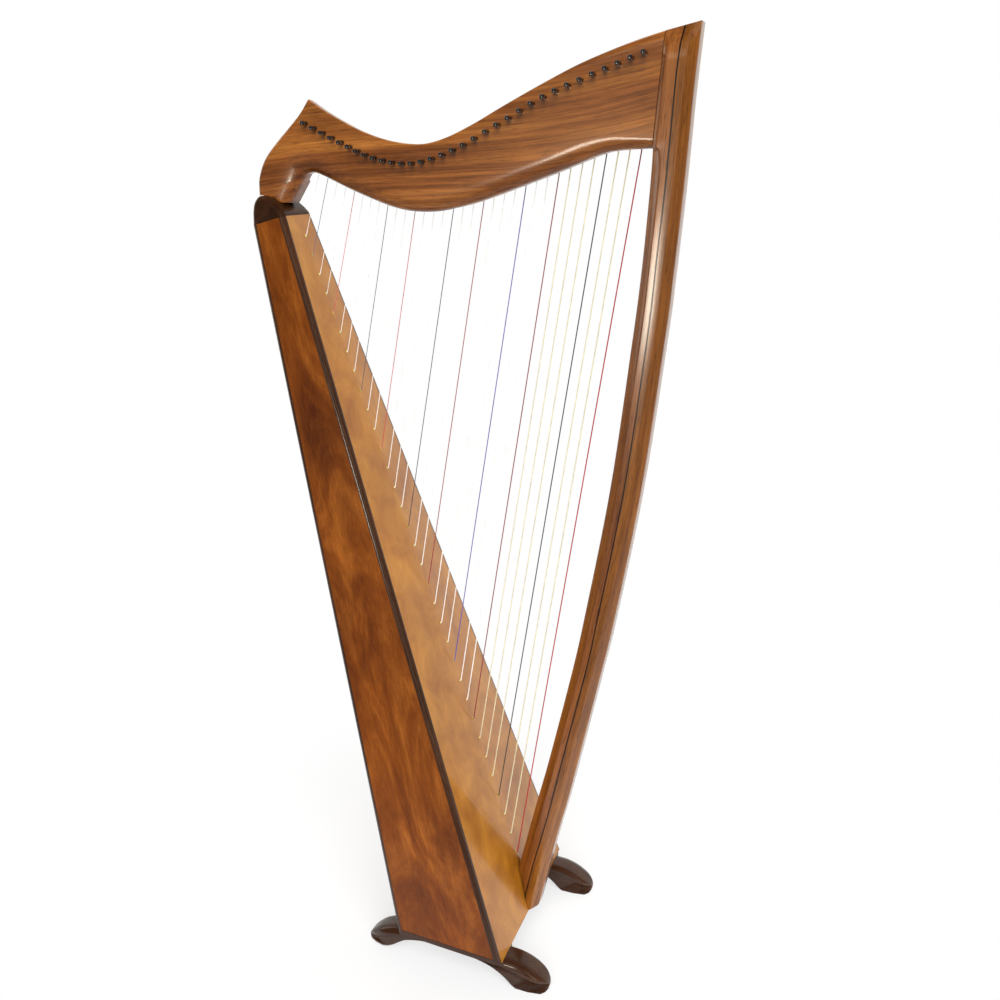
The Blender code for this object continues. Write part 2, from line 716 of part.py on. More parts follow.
def section_stripe(z_of, half):
    za = z_of(lambda q: stripe_x(q) - STRIPE_HALF)
    zb = z_of(lambda q: stripe_x(q) + STRIPE_HALF)
    xa = max(stripe_x(za) - STRIPE_HALF, board_limit(za))
    xb = stripe_x(zb) + STRIPE_HALF
    return [(xa, -half, za), (xb, -half, zb), (xb, half, zb), (xa, half, za)]


rings = [section_stripe(lambda line, z=z: z, PILLAR_HALF)
         for z in [stripe_start] + INNER_LEVELS]
rings.append(section_stripe(lambda line: at_top(line, TOP_BEVEL), PILLAR_HALF))
rings.append(section_stripe(lambda line: at_top(line, 0.0), PILLAR_FACE))
finish(loft("pillar_accent_strip", rings), veneer())


def outer_inner_edge(z):
    if z < stripe_start - 0.004:
        return board_limit(z)
    return max(stripe_x(z) + STRIPE_HALF + GAP, board_limit(z))


def foot_round(z):
    """How far the pillar's front draws in at its rounded bottom end."""
    rise = z - 0.0520
    radius = 0.012
    if rise >= radius:
        return 0.0
    return radius - math.sqrt(max(radius ** 2 - (radius - rise) ** 2, 0.0))


def section_outer(z_of, squeeze=1.0):
    z = z_of(outer_inner_edge)
    x0 = outer_inner_edge(z)
    zf = z_of(lambda q: outer_x(q) - foot_round(q))
    x1 = outer_x(zf) - foot_round(zf)
    wide = min(PILLAR_BEVEL, 0.6 * (x1 - x0))
    zb = z_of(lambda q: outer_x(q) - foot_round(q) - wide)
    y_face = PILLAR_HALF * squeeze
    y_edge = min(PILLAR_FACE, y_face)
    return [(x0, -y_face, z), (x1 - wide, -y_face, zb), (x1, -y_edge, zf),
            (x1, y_edge, zf), (x1 - wide, y_face, zb), (x0, y_face, z)]


rings = [section_outer(lambda line, z=z: z) for z in [0.0535] + OUTER_LEVELS]
rings.append(section_outer(lambda line: at_top(line, TOP_BEVEL)))
rings.append(section_outer(lambda line: at_top(line, 0.0), TOP_SQUEEZE))
pillar_outer = finish(loft("pillar_outer_lamination", rings), frame_wood())

# Bolt that draws the pillar's foot to the base block through the board.
BOLT_Z = 0.0665
bolt_tail = front_x(BOLT_Z) - 0.052
bolt_tip = front_x(BOLT_Z) + 0.0125
bolt_hole = rods("bolt_hole_cutter", [((bolt_tail - 0.01, 0, BOLT_Z), (bolt_tip + 0.0008, 0, BOLT_Z), 0.0032)], 8)
boolean(base_block, bolt_hole)
boolean(soundboard, bolt_hole)
boolean(pillar_outer, bolt_hole)
bolt = rods("pillar_bolt", [((bolt_tail - 0.0003, 0, BOLT_Z), (bolt_tip, 0, BOLT_Z), 0.0026)], 8, HARP)
bolt_head = rods("bolt_head_stock", [((front_x(BOLT_Z) - 0.0575, 0, BOLT_Z), (bolt_tail + 0.0010 - 0.0012, 0, BOLT_Z), 0.0058)], 6)
boolean(bolt, bolt_head, "UNION")
finish(bolt, steel(), 40)

# ---------------------------------------------------------------- feet
for side, word in ((-1, "right"), (1, "left")):
    rail = outline_solid("foot_rail_" + word, RAIL_OUTLINE, RAIL_HALF, side * RAIL_Y)
    bevel_rim(rail, 0.0028, 1, lambda x, z: z > 0.0005)
    finish(rail, dark_wood(), 30)

# ---------------------------------------------------------------- tuning pins
profile = [(0.0, PIN_NEAR), (0.0024, PIN_NEAR), (0.0024, PIN_NEAR + 0.0130),
           (PIN_RADIUS, PIN_NEAR + 0.0136), (PIN_RADIUS, PIN_FAR), (0.0, PIN_FAR)]
pin_mesh = bpy.data.meshes.new("tuning_pin")
edit = bmesh.new()
verts = [edit.verts.new((radius, 0.0, -along)) for radius, along in profile]
for a, b in zip(verts, verts[1:]):
    edit.edges.new((a, b))
edit.to_mesh(pin_mesh)
edit.free()
pin_mesh.materials.append(pin_steel())
for i in range(STRINGS):
    px, pz = tuning_pin_at(i)
    pin = link(bpy.data.objects.new("tuning_pin_%02d" % (i + 1), pin_mesh))
    screw = pin.modifiers.new("turn", "SCREW")
    screw.axis = "Z"
    screw.steps = 8
    screw.render_steps = 8
    screw.use_merge_vertices = True
    screw.merge_threshold = 0.00002
    screw.use_smooth_shade = True
    pin.rotation_euler = (math.radians(90), 0, 0)
    pin.location = (px + X_SHIFT, 0.0, pz)
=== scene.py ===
import math

import bmesh
import bpy
import numpy as np
from mathutils import Matrix, Vector


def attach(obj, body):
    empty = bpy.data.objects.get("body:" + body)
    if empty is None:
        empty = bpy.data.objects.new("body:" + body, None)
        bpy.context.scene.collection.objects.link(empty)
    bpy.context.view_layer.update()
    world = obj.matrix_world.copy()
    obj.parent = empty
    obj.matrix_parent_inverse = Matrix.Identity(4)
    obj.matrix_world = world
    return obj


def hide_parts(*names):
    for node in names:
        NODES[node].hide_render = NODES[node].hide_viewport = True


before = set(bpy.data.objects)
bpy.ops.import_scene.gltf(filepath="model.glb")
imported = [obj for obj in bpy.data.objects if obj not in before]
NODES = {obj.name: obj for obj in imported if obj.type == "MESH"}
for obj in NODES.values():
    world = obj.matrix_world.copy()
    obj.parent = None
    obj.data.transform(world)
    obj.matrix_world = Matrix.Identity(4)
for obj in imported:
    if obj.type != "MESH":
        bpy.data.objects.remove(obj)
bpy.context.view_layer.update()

HARP = "harp"

# ---------------------------------------------------------------- dimensions, as the CAD has them
X_SHIFT = 0.1272
GAP = 0.0003
BOX_BOTTOM, BOX_TOP = 0.0508, 1.2301
FRONT_SLOPE = 0.3421
BACK_AT_BOTTOM, BACK_SLOPE = -0.192, 0.2314
CUT_SLOPE = 0.27
FRONT_HALF = (0.1608, 0.0403)
BACK_HALF = (0.1550, 0.0387)
POST_DEPTH, POST_WIDTH = 0.0088, 0.0080
BOARD_THICK, BACK_THICK = 0.0040, 0.0050
BELLY = 0.0069
RIB_THICK = 0.0070
NECK_HALF, PILLAR_HALF, PILLAR_FACE, PILLAR_BEVEL = 0.0180, 0.0220, 0.0120, 0.0136
STRIPE_HALF, TOP_BEVEL = 0.0010, 0.0210
STRINGS = 33
FIRST_STRING, SPACING, SPACING_GROWTH = 0.0329, 0.0303, 0.0043
STRING_Y = 0.0262
PIN_RADIUS, PIN_NEAR, PIN_FAR = 0.0032, -0.0330, 0.0380
BRIDGE_RADIUS, BRIDGE_LENGTH = 0.0014, 0.042
RAIL_Y, RAIL_HALF = 0.1263, 0.0213

NECK_BACK = [(-0.4610, 1.2589), (-0.4587, 1.2842), (-0.4456, 1.3119), (-0.4193, 1.3392),
             (-0.3805, 1.3733), (-0.3625, 1.3945)]
NECK_TOP = [(-0.3625, 1.3945), (-0.3319, 1.3762), (-0.2854, 1.3539), (-0.2519, 1.3422),
            (-0.2213, 1.3352), (-0.1958, 1.3325), (-0.1707, 1.3336), (-0.1383, 1.3425),
            (-0.0983, 1.3600), (-0.0570, 1.3810), (-0.0040, 1.4067), (0.0470, 1.4297),
            (0.0962, 1.4475), (0.1322, 1.4586), (0.1617, 1.4664)]
NECK_LOW = [(0.1523, 1.3260), (0.1110, 1.3239), (0.0856, 1.3198), (0.0523, 1.3078),
            (0.0208, 1.2957), (-0.0278, 1.2783), (-0.0951, 1.2554), (-0.1417, 1.2438),
            (-0.1655, 1.2398), (-0.1914, 1.2389), (-0.2174, 1.2411), (-0.2488, 1.2485),
            (-0.3045, 1.2683), (-0.3500, 1.2872), (-0.3680, 1.2925), (-0.3800, 1.2905)]
NECK_KINK = (-0.3877, 1.2793)
NECK_FOOT = [(-0.4092, 1.2484), (-0.4213, 1.2484), (-0.4310, 1.2549), (-0.4425, 1.2589),
             (-0.4610, 1.2589)]
BLOCK_TOP = [(-0.4121, 1.2409), (-0.4213, 1.2478), (-0.4310, 1.2543), (-0.4425, 1.2584),
             (-0.4485, 1.2575), (-0.4545, 1.2517), (-0.4585, 1.2438), (-0.4606, 1.2330)]
PILLAR_INNER = [(-0.0518, 0.0100), (-0.0198, 0.1462), (0.0109, 0.2842), (0.0287, 0.3629),
                (0.0624, 0.5276), (0.0807, 0.6307), (0.1140, 0.8500), (0.1371, 1.0734),
                (0.1452, 1.1678), (0.1505, 1.2612), (0.1530, 1.3252), (0.1558, 1.3760),
                (0.1589, 1.4250), (0.1622, 1.4700), (0.1650, 1.5100)]
PILLAR_STRIPE = [(-0.0230, 0.0100), (-0.0064, 0.0833), (0.0069, 0.1503), (0.0309, 0.2551),
                 (0.0551, 0.3757), (0.0901, 0.5497), (0.1050, 0.6396), (0.1370, 0.8500),
                 (0.1604, 1.0765), (0.1682, 1.1930), (0.1729, 1.2619), (0.1768, 1.3381),
                 (0.1805, 1.4202), (0.1862, 1.4750), (0.1900, 1.5100)]
PILLAR_FRONT = [(0.0040, 0.0100), (0.0178, 0.0717), (0.0439, 0.2059), (0.0633, 0.2928),
                (0.0796, 0.3755), (0.1086, 0.5260), (0.1293, 0.6394), (0.1603, 0.8500),
                (0.1831, 1.0764), (0.1896, 1.1636), (0.1957, 1.2619), (0.1985, 1.3227),
                (0.2010, 1.3840), (0.2030, 1.4204), (0.2066, 1.4761), (0.2090, 1.5100)]
PILLAR_TOP_AT = (0.1617, 1.4664)
PILLAR_TOP_SLOPE = 0.215
PIN_LINE = [(-0.3678, 1.3616), (-0.3083, 1.3348), (-0.2544, 1.3134), (-0.1938, 1.3061),
            (-0.1291, 1.3238), (-0.0623, 1.3564), (0.0036, 1.3907), (0.0710, 1.4168),
            (0.1379, 1.4410)]
SOUND_HOLES = [(1.000, 0.020, 0.048), (0.770, 0.032, 0.058), (0.520, 0.044, 0.066),
               (0.250, 0.054, 0.072)]

# ---------------------------------------------------------------- camera
CAMERA_AT = Vector((0.4650 + X_SHIFT, -1.3594, 1.3075))
TURN, PITCH, ROLL, FOCAL = 111.3201, 18.9377, 0.1977, 982.79


def make_camera():
    turn, pitch, roll = (math.radians(v) for v in (TURN, PITCH, ROLL))
    ahead = Vector((math.cos(pitch) * math.cos(turn), math.cos(pitch) * math.sin(turn),
                    -math.sin(pitch)))
    right = Vector((math.sin(turn), -math.cos(turn), 0.0))
    up = right.cross(ahead)
    right_r = right * math.cos(roll) + up * math.sin(roll)
    up_r = up * math.cos(roll) - right * math.sin(roll)
    data = bpy.data.cameras.new("camera")
    data.sensor_width = 36.0
    data.sensor_fit = "HORIZONTAL"
    data.lens = 0.036 * FOCAL
    data.clip_start, data.clip_end = 0.05, 200.0
    obj = bpy.data.objects.new("camera", data)
    bpy.context.scene.collection.objects.link(obj)
    obj.matrix_world = Matrix((
        (right_r.x, up_r.x, -ahead.x, CAMERA_AT.x),
        (right_r.y, up_r.y, -ahead.y, CAMERA_AT.y),
        (right_r.z, up_r.z, -ahead.z, CAMERA_AT.z),
        (0, 0, 0, 1)))
    bpy.context.scene.camera = obj


make_camera()
bpy.context.scene.view_settings.view_transform = "Standard"


# ---------------------------------------------------------------- small tools
def srgb(r, g, b):
    def one(v):
        v /= 255.0
        return v / 12.92 if v <= 0.04045 else ((v + 0.055) / 1.055) ** 2.4
    return (one(r), one(g), one(b), 1.0)


def lerp(a, b, t):
    return a + (b - a) * t


def ramp_of(pairs, x):
    """Piecewise linear function through (x, value) pairs."""
    if x <= pairs[0][0]:
        return pairs[0][1]
    for (xa, va), (xb, vb) in zip(pairs, pairs[1:]):
        if x <= xb:
            return lerp(va, vb, (x - xa) / (xb - xa))
    return pairs[-1][1]


def smooth(t):
    t = min(max(t, 0.0), 1.0)
    return t * t * (3 - 2 * t)


def catmull(points, steps):
    first = (2 * points[0][0] - points[1][0], 2 * points[0][1] - points[1][1])
    last = (2 * points[-1][0] - points[-2][0], 2 * points[-1][1] - points[-2][1])
    ring = [first, *points, last]
    out = []
    for i in range(1, len(ring) - 2):
        p0, p1, p2, p3 = ring[i - 1:i + 3]
        for k in range(steps):
            t = k / steps
            out.append(tuple(
                0.5 * (2 * p1[a] + (p2[a] - p0[a]) * t
                       + (2 * p0[a] - 5 * p1[a] + 4 * p2[a] - p3[a]) * t * t
                       + (3 * p1[a] - p0[a] - 3 * p2[a] + p3[a]) * t ** 3)
                for a in (0, 1)))
    out.append(tuple(points[-1]))
    return out


def curve_x(points):
    fine = catmull(points, 24)

    def at(z):
        for (xa, za), (xb, zb) in zip(fine, fine[1:]):
            if za <= z <= zb:
                return xa + (xb - xa) * (z - za) / max(zb - za, 1e-9)
        return fine[0][0] if z < fine[0][1] else fine[-1][0]
    return at


class Chain:
    """A plane curve read by the share of its length."""

    def __init__(self, points):
        self.p = points
        self.s = [0.0]
        for a, b in zip(points, points[1:]):
            self.s.append(self.s[-1] + math.dist(a, b))
        self.length = self.s[-1]

    def at(self, share):
        want = min(max(share, 0.0), 1.0) * self.length
        low, high = 0, len(self.s) - 1
        while high - low > 1:
            mid = (low + high) // 2
            if self.s[mid] <= want:
                low = mid
            else:
                high = mid
        t = (want - self.s[low]) / max(self.s[high] - self.s[low], 1e-12)
        return (lerp(self.p[low][0], self.p[high][0], t), lerp(self.p[low][1], self.p[high][1], t))


def new_object(name, mesh):
    obj = bpy.data.objects.new(name, mesh)
    bpy.context.scene.collection.objects.link(obj)
    return obj


def shade(obj, angle=40.0):
    obj.data.shade_smooth()
    obj.data.set_sharp_from_angle(angle=math.radians(angle))


def skin(name, rings, angle=40.0, caps=True, shift=X_SHIFT):
    """A closed solid through rings of equally many points."""
    edit = bmesh.new()
    made = [[edit.verts.new((x + shift, y, z)) for x, y, z in ring] for ring in rings]
    count = len(made[0])
    for low, high in zip(made, made[1:]):
        for i in range(count):
            j = (i + 1) % count
            edit.faces.new((low[i], low[j], high[j], high[i]))
    if caps:
        edit.faces.new(list(reversed(made[0])))
        edit.faces.new(made[-1])
    bmesh.ops.recalc_face_normals(edit, faces=edit.faces)
    mesh = bpy.data.meshes.new(name)
    edit.to_mesh(mesh)
    edit.free()
    obj = new_object(name, mesh)
    shade(obj, angle)
    return obj


def lathe(name, profile, sides, place, angle=40.0):
    """A turned solid: profile is (radius, along) from one end on the axis to the other."""
    edit = bmesh.new()
    rings = []
    for radius, along in profile:
        if radius < 1e-7:
            rings.append([edit.verts.new((0, 0, along))])
        else:
            rings.append([edit.verts.new((radius * math.cos(2 * math.pi * k / sides),
                                          radius * math.sin(2 * math.pi * k / sides), along))
                          for k in range(sides)])
    for low, high in zip(rings, rings[1:]):
        for k in range(sides):
            j = (k + 1) % sides
            if len(low) == 1:
                edit.faces.new((low[0], high[j], high[k]))
            elif len(high) == 1:
                edit.faces.new((low[k], low[j], high[0]))
            else:
                edit.faces.new((low[k], low[j], high[j], high[k]))
    bmesh.ops.recalc_face_normals(edit, faces=edit.faces)
    mesh = bpy.data.meshes.new(name)
    edit.to_mesh(mesh)
    edit.free()
    mesh.transform(place)
    obj = new_object(name, mesh)
    shade(obj, angle)
    return obj


def grain(obj, mapping):
    """Stores where each point lies in the wood: (along the grain, across, through)."""
    mesh = obj.data
    points = np.empty(len(mesh.vertices) * 3)
    mesh.vertices.foreach_get("co", points)
    points = points.reshape(-1, 3)
    layer = mesh.attributes.get("grain") or mesh.attributes.new("grain", "FLOAT_VECTOR", "POINT")
    out = np.array([mapping(x - X_SHIFT, y, z) for x, y, z in points], dtype=np.float64)
    layer.data.foreach_set("vector", out.ravel())


def dress(obj, material):
    obj.data.materials.clear()
    obj.data.materials.append(material)


def soften(obj, width, segments=2, angle=50):
    modifier = obj.modifiers.new("soft_edges", "BEVEL")
    modifier.width = width
    modifier.segments = segments
    modifier.limit_method = "ANGLE"
    modifier.angle_limit = math.radians(angle)
    modifier.harden_normals = False


# ---------------------------------------------------------------- materials
def wood(name, dark, mid, light, seed=0.0, band=16.0, stretch=0.07, wave=0.45, distortion=5.0,
         blotch=0.35, blotch_scale=7.0, pores=0.5, fibre=0.25, rough=(0.28, 0.42), coat=0.25,
         specular=0.35, bump=0.12, attribute=True, worn=None, ramp=(0.28, 0.5, 0.72),
         blotch_stretch=0.35, streaks=0.0, coat_rough=0.16, twist=0.6):
    mat = bpy.data.materials.new(name)
    mat.use_nodes = True
    tree = mat.node_tree
    nodes, links = tree.nodes, tree.links
    shader = nodes["Principled BSDF"]

    def add(kind, **values):
        node = nodes.new(kind)
        for key, value in values.items():
            setattr(node, key, value)
        return node

    if attribute:
        source = add("ShaderNodeAttribute", attribute_name="grain")
        vector = source.outputs["Vector"]
    else:
        source = add("ShaderNodeTexCoord")
        vector = source.outputs["Object"]

    def mapped(scale, offset):
        node = add("ShaderNodeMapping")
        node.inputs["Location"].default_value = offset
        node.inputs["Scale"].default_value = scale
        links.new(vector, node.inputs["Vector"])
        return node.outputs["Vector"]

    def noise(vec, scale, detail=3.0, roughness=0.55, twist=0.0):
        node = add("ShaderNodeTexNoise")
        node.inputs["Scale"].default_value = scale
        node.inputs["Detail"].default_value = detail
        node.inputs["Roughness"].default_value = roughness
        node.inputs["Distortion"].default_value = twist
        links.new(vec, node.inputs["Vector"])
        return node.outputs["Fac"]

    def math_node(operation, a, b=None, clamp=False):
        node = add("ShaderNodeMath", operation=operation, use_clamp=clamp)
        for socket, value in zip(node.inputs, (a, b)):
            if value is None:
                continue
            if isinstance(value, (int, float)):
                socket.default_value = value
            else:
                links.new(value, socket)
        return node.outputs[0]

    def remap(value, a, b, c, d):
        node = add("ShaderNodeMapRange")
        for key, number in (("From Min", a), ("From Max", b), ("To Min", c), ("To Max", d)):
            node.inputs[key].default_value = number
        links.new(value, node.inputs["Value"])
        return node.outputs["Result"]

    def mix(kind, factor, a, b):
        node = add("ShaderNodeMix", data_type="RGBA", blend_type=kind)
        for socket, value in ((node.inputs[0], factor), (node.inputs[6], a), (node.inputs[7], b)):
            if isinstance(value, (int, float)):
                socket.default_value = value
            elif isinstance(value, tuple):
                socket.default_value = value
            else:
                links.new(value, socket)
        return node.outputs[2]

    s = seed
    stretched = mapped((stretch, 1.0, 1.0), (s, s * 0.7, s * 1.3))
    base = noise(stretched, band, 5.0, 0.62, twist)
    waves = add("ShaderNodeTexWave", wave_type="BANDS", bands_direction="Y")
    waves.inputs["Scale"].default_value = band * 1.1
    waves.inputs["Distortion"].default_value = distortion
    waves.inputs["Detail"].default_value = 3.0
    waves.inputs["Detail Scale"].default_value = 0.9
    waves.inputs["Detail Roughness"].default_value = 0.6
    links.new(stretched, waves.inputs["Vector"])
    field = math_node("ADD", math_node("MULTIPLY", base, 1.0 - wave),
                      math_node("MULTIPLY", waves.outputs["Fac"], wave))
    colours = add("ShaderNodeValToRGB")
    elements = colours.color_ramp.elements
    elements[0].position, elements[0].color = ramp[0], dark
    elements[1].position, elements[1].color = ramp[2], light
    middle = elements.new(ramp[1])
    middle.color = mid
    links.new(field, colours.inputs["Fac"])
    colour = colours.outputs["Color"]

    patches = noise(mapped((blotch_stretch, 1.0, 1.0), (s * 3.1, s, -s)), blotch_scale, 3.0, 0.55, 0.9)
    shade_patch = remap(patches, 0.3, 0.7, 1.0 - blotch, 1.0 + blotch * 0.55)
    combine = add("ShaderNodeCombineColor")
    for k, power in enumerate((1.0, 1.12, 1.25)):
        links.new(math_node("POWER", shade_patch, power), combine.inputs[k])
    colour = mix("MULTIPLY", 1.0, colour, combine.outputs[0])

    fibres = noise(mapped((0.035, 1.0, 1.0), (s, -s, s)), 420.0, 3.0, 0.6)
    fibre_shade = remap(fibres, 0.3, 0.7, 1.0 - fibre, 1.0 + fibre * 0.6)
    grey = add("ShaderNodeCombineColor")
    for k in range(3):
        links.new(fibre_shade, grey.inputs[k])
    colour = mix("MULTIPLY", 1.0, colour, grey.outputs[0])

    if streaks > 0:
        lines = noise(mapped((0.012, 1.0, 1.0), (-s, s * 2, s)), 95.0, 4.0, 0.7, 0.3)
        colour = mix("MULTIPLY", remap(lines, 0.52, 0.66, 0.0, streaks), colour,
                     (dark[0] / max(mid[0], 1e-4), dark[1] / max(mid[1], 1e-4),
                      dark[2] / max(mid[2], 1e-4), 1.0))

    pits = noise(mapped((0.055, 1.0, 1.0), (s * 2, s, s)), 900.0, 1.0, 0.5)
    pit_mask = remap(pits, 0.60, 0.70, 0.0, pores)
    colour = mix("MULTIPLY", pit_mask, colour, (0.30, 0.24, 0.20, 1.0))

    if worn:
        geometry = add("ShaderNodeNewGeometry")
        edge = remap(geometry.outputs["Pointiness"], 0.505, 0.56, 0.0, 0.5)
        colour = mix("MIX", edge, colour, worn)

    links.new(colour, shader.inputs["Base Color"])
    links.new(remap(fibres, 0.3, 0.75, rough[0], rough[1]), shader.inputs["Roughness"])
    height = math_node("SUBTRACT", fibres, math_node("MULTIPLY", pit_mask, 0.8))
    bumper = add("ShaderNodeBump")
    bumper.inputs["Strength"].default_value = bump
    bumper.inputs["Distance"].default_value = 0.0006
    links.new(height, bumper.inputs["Height"])
    links.new(bumper.outputs["Normal"], shader.inputs["Normal"])
    shader.inputs["Specular IOR Level"].default_value = specular
    shader.inputs["Coat Weight"].default_value = coat
    shader.inputs["Coat Roughness"].default_value = coat_rough
    return mat


NECK_WOOD = wood("neck_wood", srgb(92, 44, 12), srgb(143, 81, 31), srgb(188, 118, 50), seed=1.3,
                 band=24.0, stretch=0.045, wave=0.06, distortion=9.0, blotch=0.20,
                 blotch_scale=9.0, pores=0.55, fibre=0.36, coat=0.55, specular=0.30, streaks=0.55,
                 ramp=(0.30, 0.5, 0.70), rough=(0.28, 0.40))
INNER_PILLAR_WOOD = wood("inner_pillar_wood", srgb(104, 52, 14), srgb(138, 78, 28),
                         srgb(166, 104, 46), seed=4.1, band=34.0, stretch=0.03, wave=0.0,
                         blotch=0.18, pores=0.75, fibre=0.34, coat=0.75, specular=0.35,
                         streaks=0.2)
OUTER_PILLAR_WOOD = wood("outer_pillar_wood", srgb(98, 50, 8), srgb(136, 79, 20),
                         srgb(166, 107, 40), seed=7.7, band=34.0, stretch=0.03, wave=0.0,
                         blotch=0.18, pores=0.75, fibre=0.34, coat=0.75, specular=0.35,
                         streaks=0.2)
SIDE_WOOD = wood("side_wood", srgb(82, 33, 3), srgb(124, 62, 12), srgb(162, 92, 30), seed=2.6,
                 band=10.0, stretch=0.34, wave=0.0, distortion=9.0, blotch=0.38,
                 blotch_scale=6.0, pores=0.30, fibre=0.24, coat=0.20, specular=0.15,
                 blotch_stretch=0.6, rough=(0.32, 0.44), ramp=(0.24, 0.5, 0.76), twist=2.4)
DARK_WOOD = wood("dark_wood", srgb(38, 18, 6), srgb(56, 30, 13), srgb(76, 44, 23), seed=5.2,
                 band=30.0, stretch=0.05, wave=0.0, blotch=0.12, pores=0.2, fibre=0.12,
                 rough=(0.24, 0.34), coat=0.40, specular=0.25, bump=0.02)
BLOCK_WOOD = wood("block_wood", srgb(34, 16, 6), srgb(50, 27, 12), srgb(70, 40, 21), seed=9.4,
                  band=30.0, stretch=0.05, wave=0.0, blotch=0.12, pores=0.2, fibre=0.12,
                  rough=(0.30, 0.42), coat=0.16, specular=0.12, bump=0.02)
DARK_WOOD_CAD = wood("dark_wood_plain", srgb(38, 18, 6), srgb(56, 30, 13), srgb(76, 44, 23),
                     seed=5.2, band=30.0, stretch=0.05, wave=0.0, blotch=0.12, pores=0.2,
                     fibre=0.12, rough=(0.24, 0.34), coat=0.40, specular=0.25, bump=0.02,
                     attribute=False)
BOARD_WOOD = wood("board_wood", srgb(150, 89, 20), srgb(170, 109, 30), srgb(188, 127, 42),
                  seed=3.3, band=18.0, stretch=0.8, wave=0.0, distortion=6.0, blotch=0.14,
                  blotch_scale=14.0, pores=0.15, fibre=0.10, rough=(0.32, 0.46), coat=0.5,
                  specular=0.3, blotch_stretch=0.9, coat_rough=0.10)
INNER_WOOD = wood("inner_wood", srgb(182, 148, 100), srgb(208, 176, 126), srgb(224, 196, 150),
                  seed=6.4, band=30.0, stretch=0.05, wave=0.1, blotch=0.1, pores=0.1, fibre=0.2,
                  rough=(0.55, 0.7), coat=0.0, specular=0.3, attribute=False)
VENEER = wood("veneer", srgb(16, 9, 6), srgb(26, 15, 10), srgb(38, 24, 16), seed=8.8,
              band=60.0, stretch=0.03, wave=0.05, blotch=0.1, pores=0.3, fibre=0.3, coat=0.2)


def metal(name, colour, metallic, roughness, scratch=0.0, scale=600.0, coat=0.0):
    mat = bpy.data.materials.new(name)
    mat.use_nodes = True
    tree = mat.node_tree
    shader = tree.nodes["Principled BSDF"]
    shader.inputs["Metallic"].default_value = metallic
    coord = tree.nodes.new("ShaderNodeTexCoord")
    speckle = tree.nodes.new("ShaderNodeTexNoise")
    speckle.inputs["Scale"].default_value = scale
    speckle.inputs["Detail"].default_value = 3.0
    tree.links.new(coord.outputs["Object"], speckle.inputs["Vector"])
    ramp = tree.nodes.new("ShaderNodeValToRGB")
    ramp.color_ramp.elements[0].position = 0.3
    ramp.color_ramp.elements[0].color = tuple(c * 0.75 for c in colour[:3]) + (1.0,)
    ramp.color_ramp.elements[1].position = 0.7
    ramp.color_ramp.elements[1].color = tuple(min(c * 1.2, 1.0) for c in colour[:3]) + (1.0,)
    tree.links.new(speckle.outputs["Fac"], ramp.inputs["Fac"])
    tree.links.new(ramp.outputs["Color"], shader.inputs["Base Color"])
    span = tree.nodes.new("ShaderNodeMapRange")
    span.inputs["To Min"].default_value = roughness * 0.8
    span.inputs["To Max"].default_value = roughness * 1.25
    tree.links.new(speckle.outputs["Fac"], span.inputs["Value"])
    tree.links.new(span.outputs["Result"], shader.inputs["Roughness"])
    if scratch:
        bumper = tree.nodes.new("ShaderNodeBump")
        bumper.inputs["Strength"].default_value = scratch
        bumper.inputs["Distance"].default_value = 0.0002
        tree.links.new(speckle.outputs["Fac"], bumper.inputs["Height"])
        tree.links.new(bumper.outputs["Normal"], shader.inputs["Normal"])
    shader.inputs["Coat Weight"].default_value = coat
    shader.inputs["Coat Roughness"].default_value = 0.08
    return mat


PIN_METAL = metal("pin_metal", srgb(20, 20, 22), 0.15, 0.24, 0.05, coat=1.0)
BRASS = metal("brass", srgb(226, 194, 104), 0.5, 0.25, 0.05)
STEEL = metal("steel", srgb(190, 190, 194), 1.0, 0.28, 0.05)


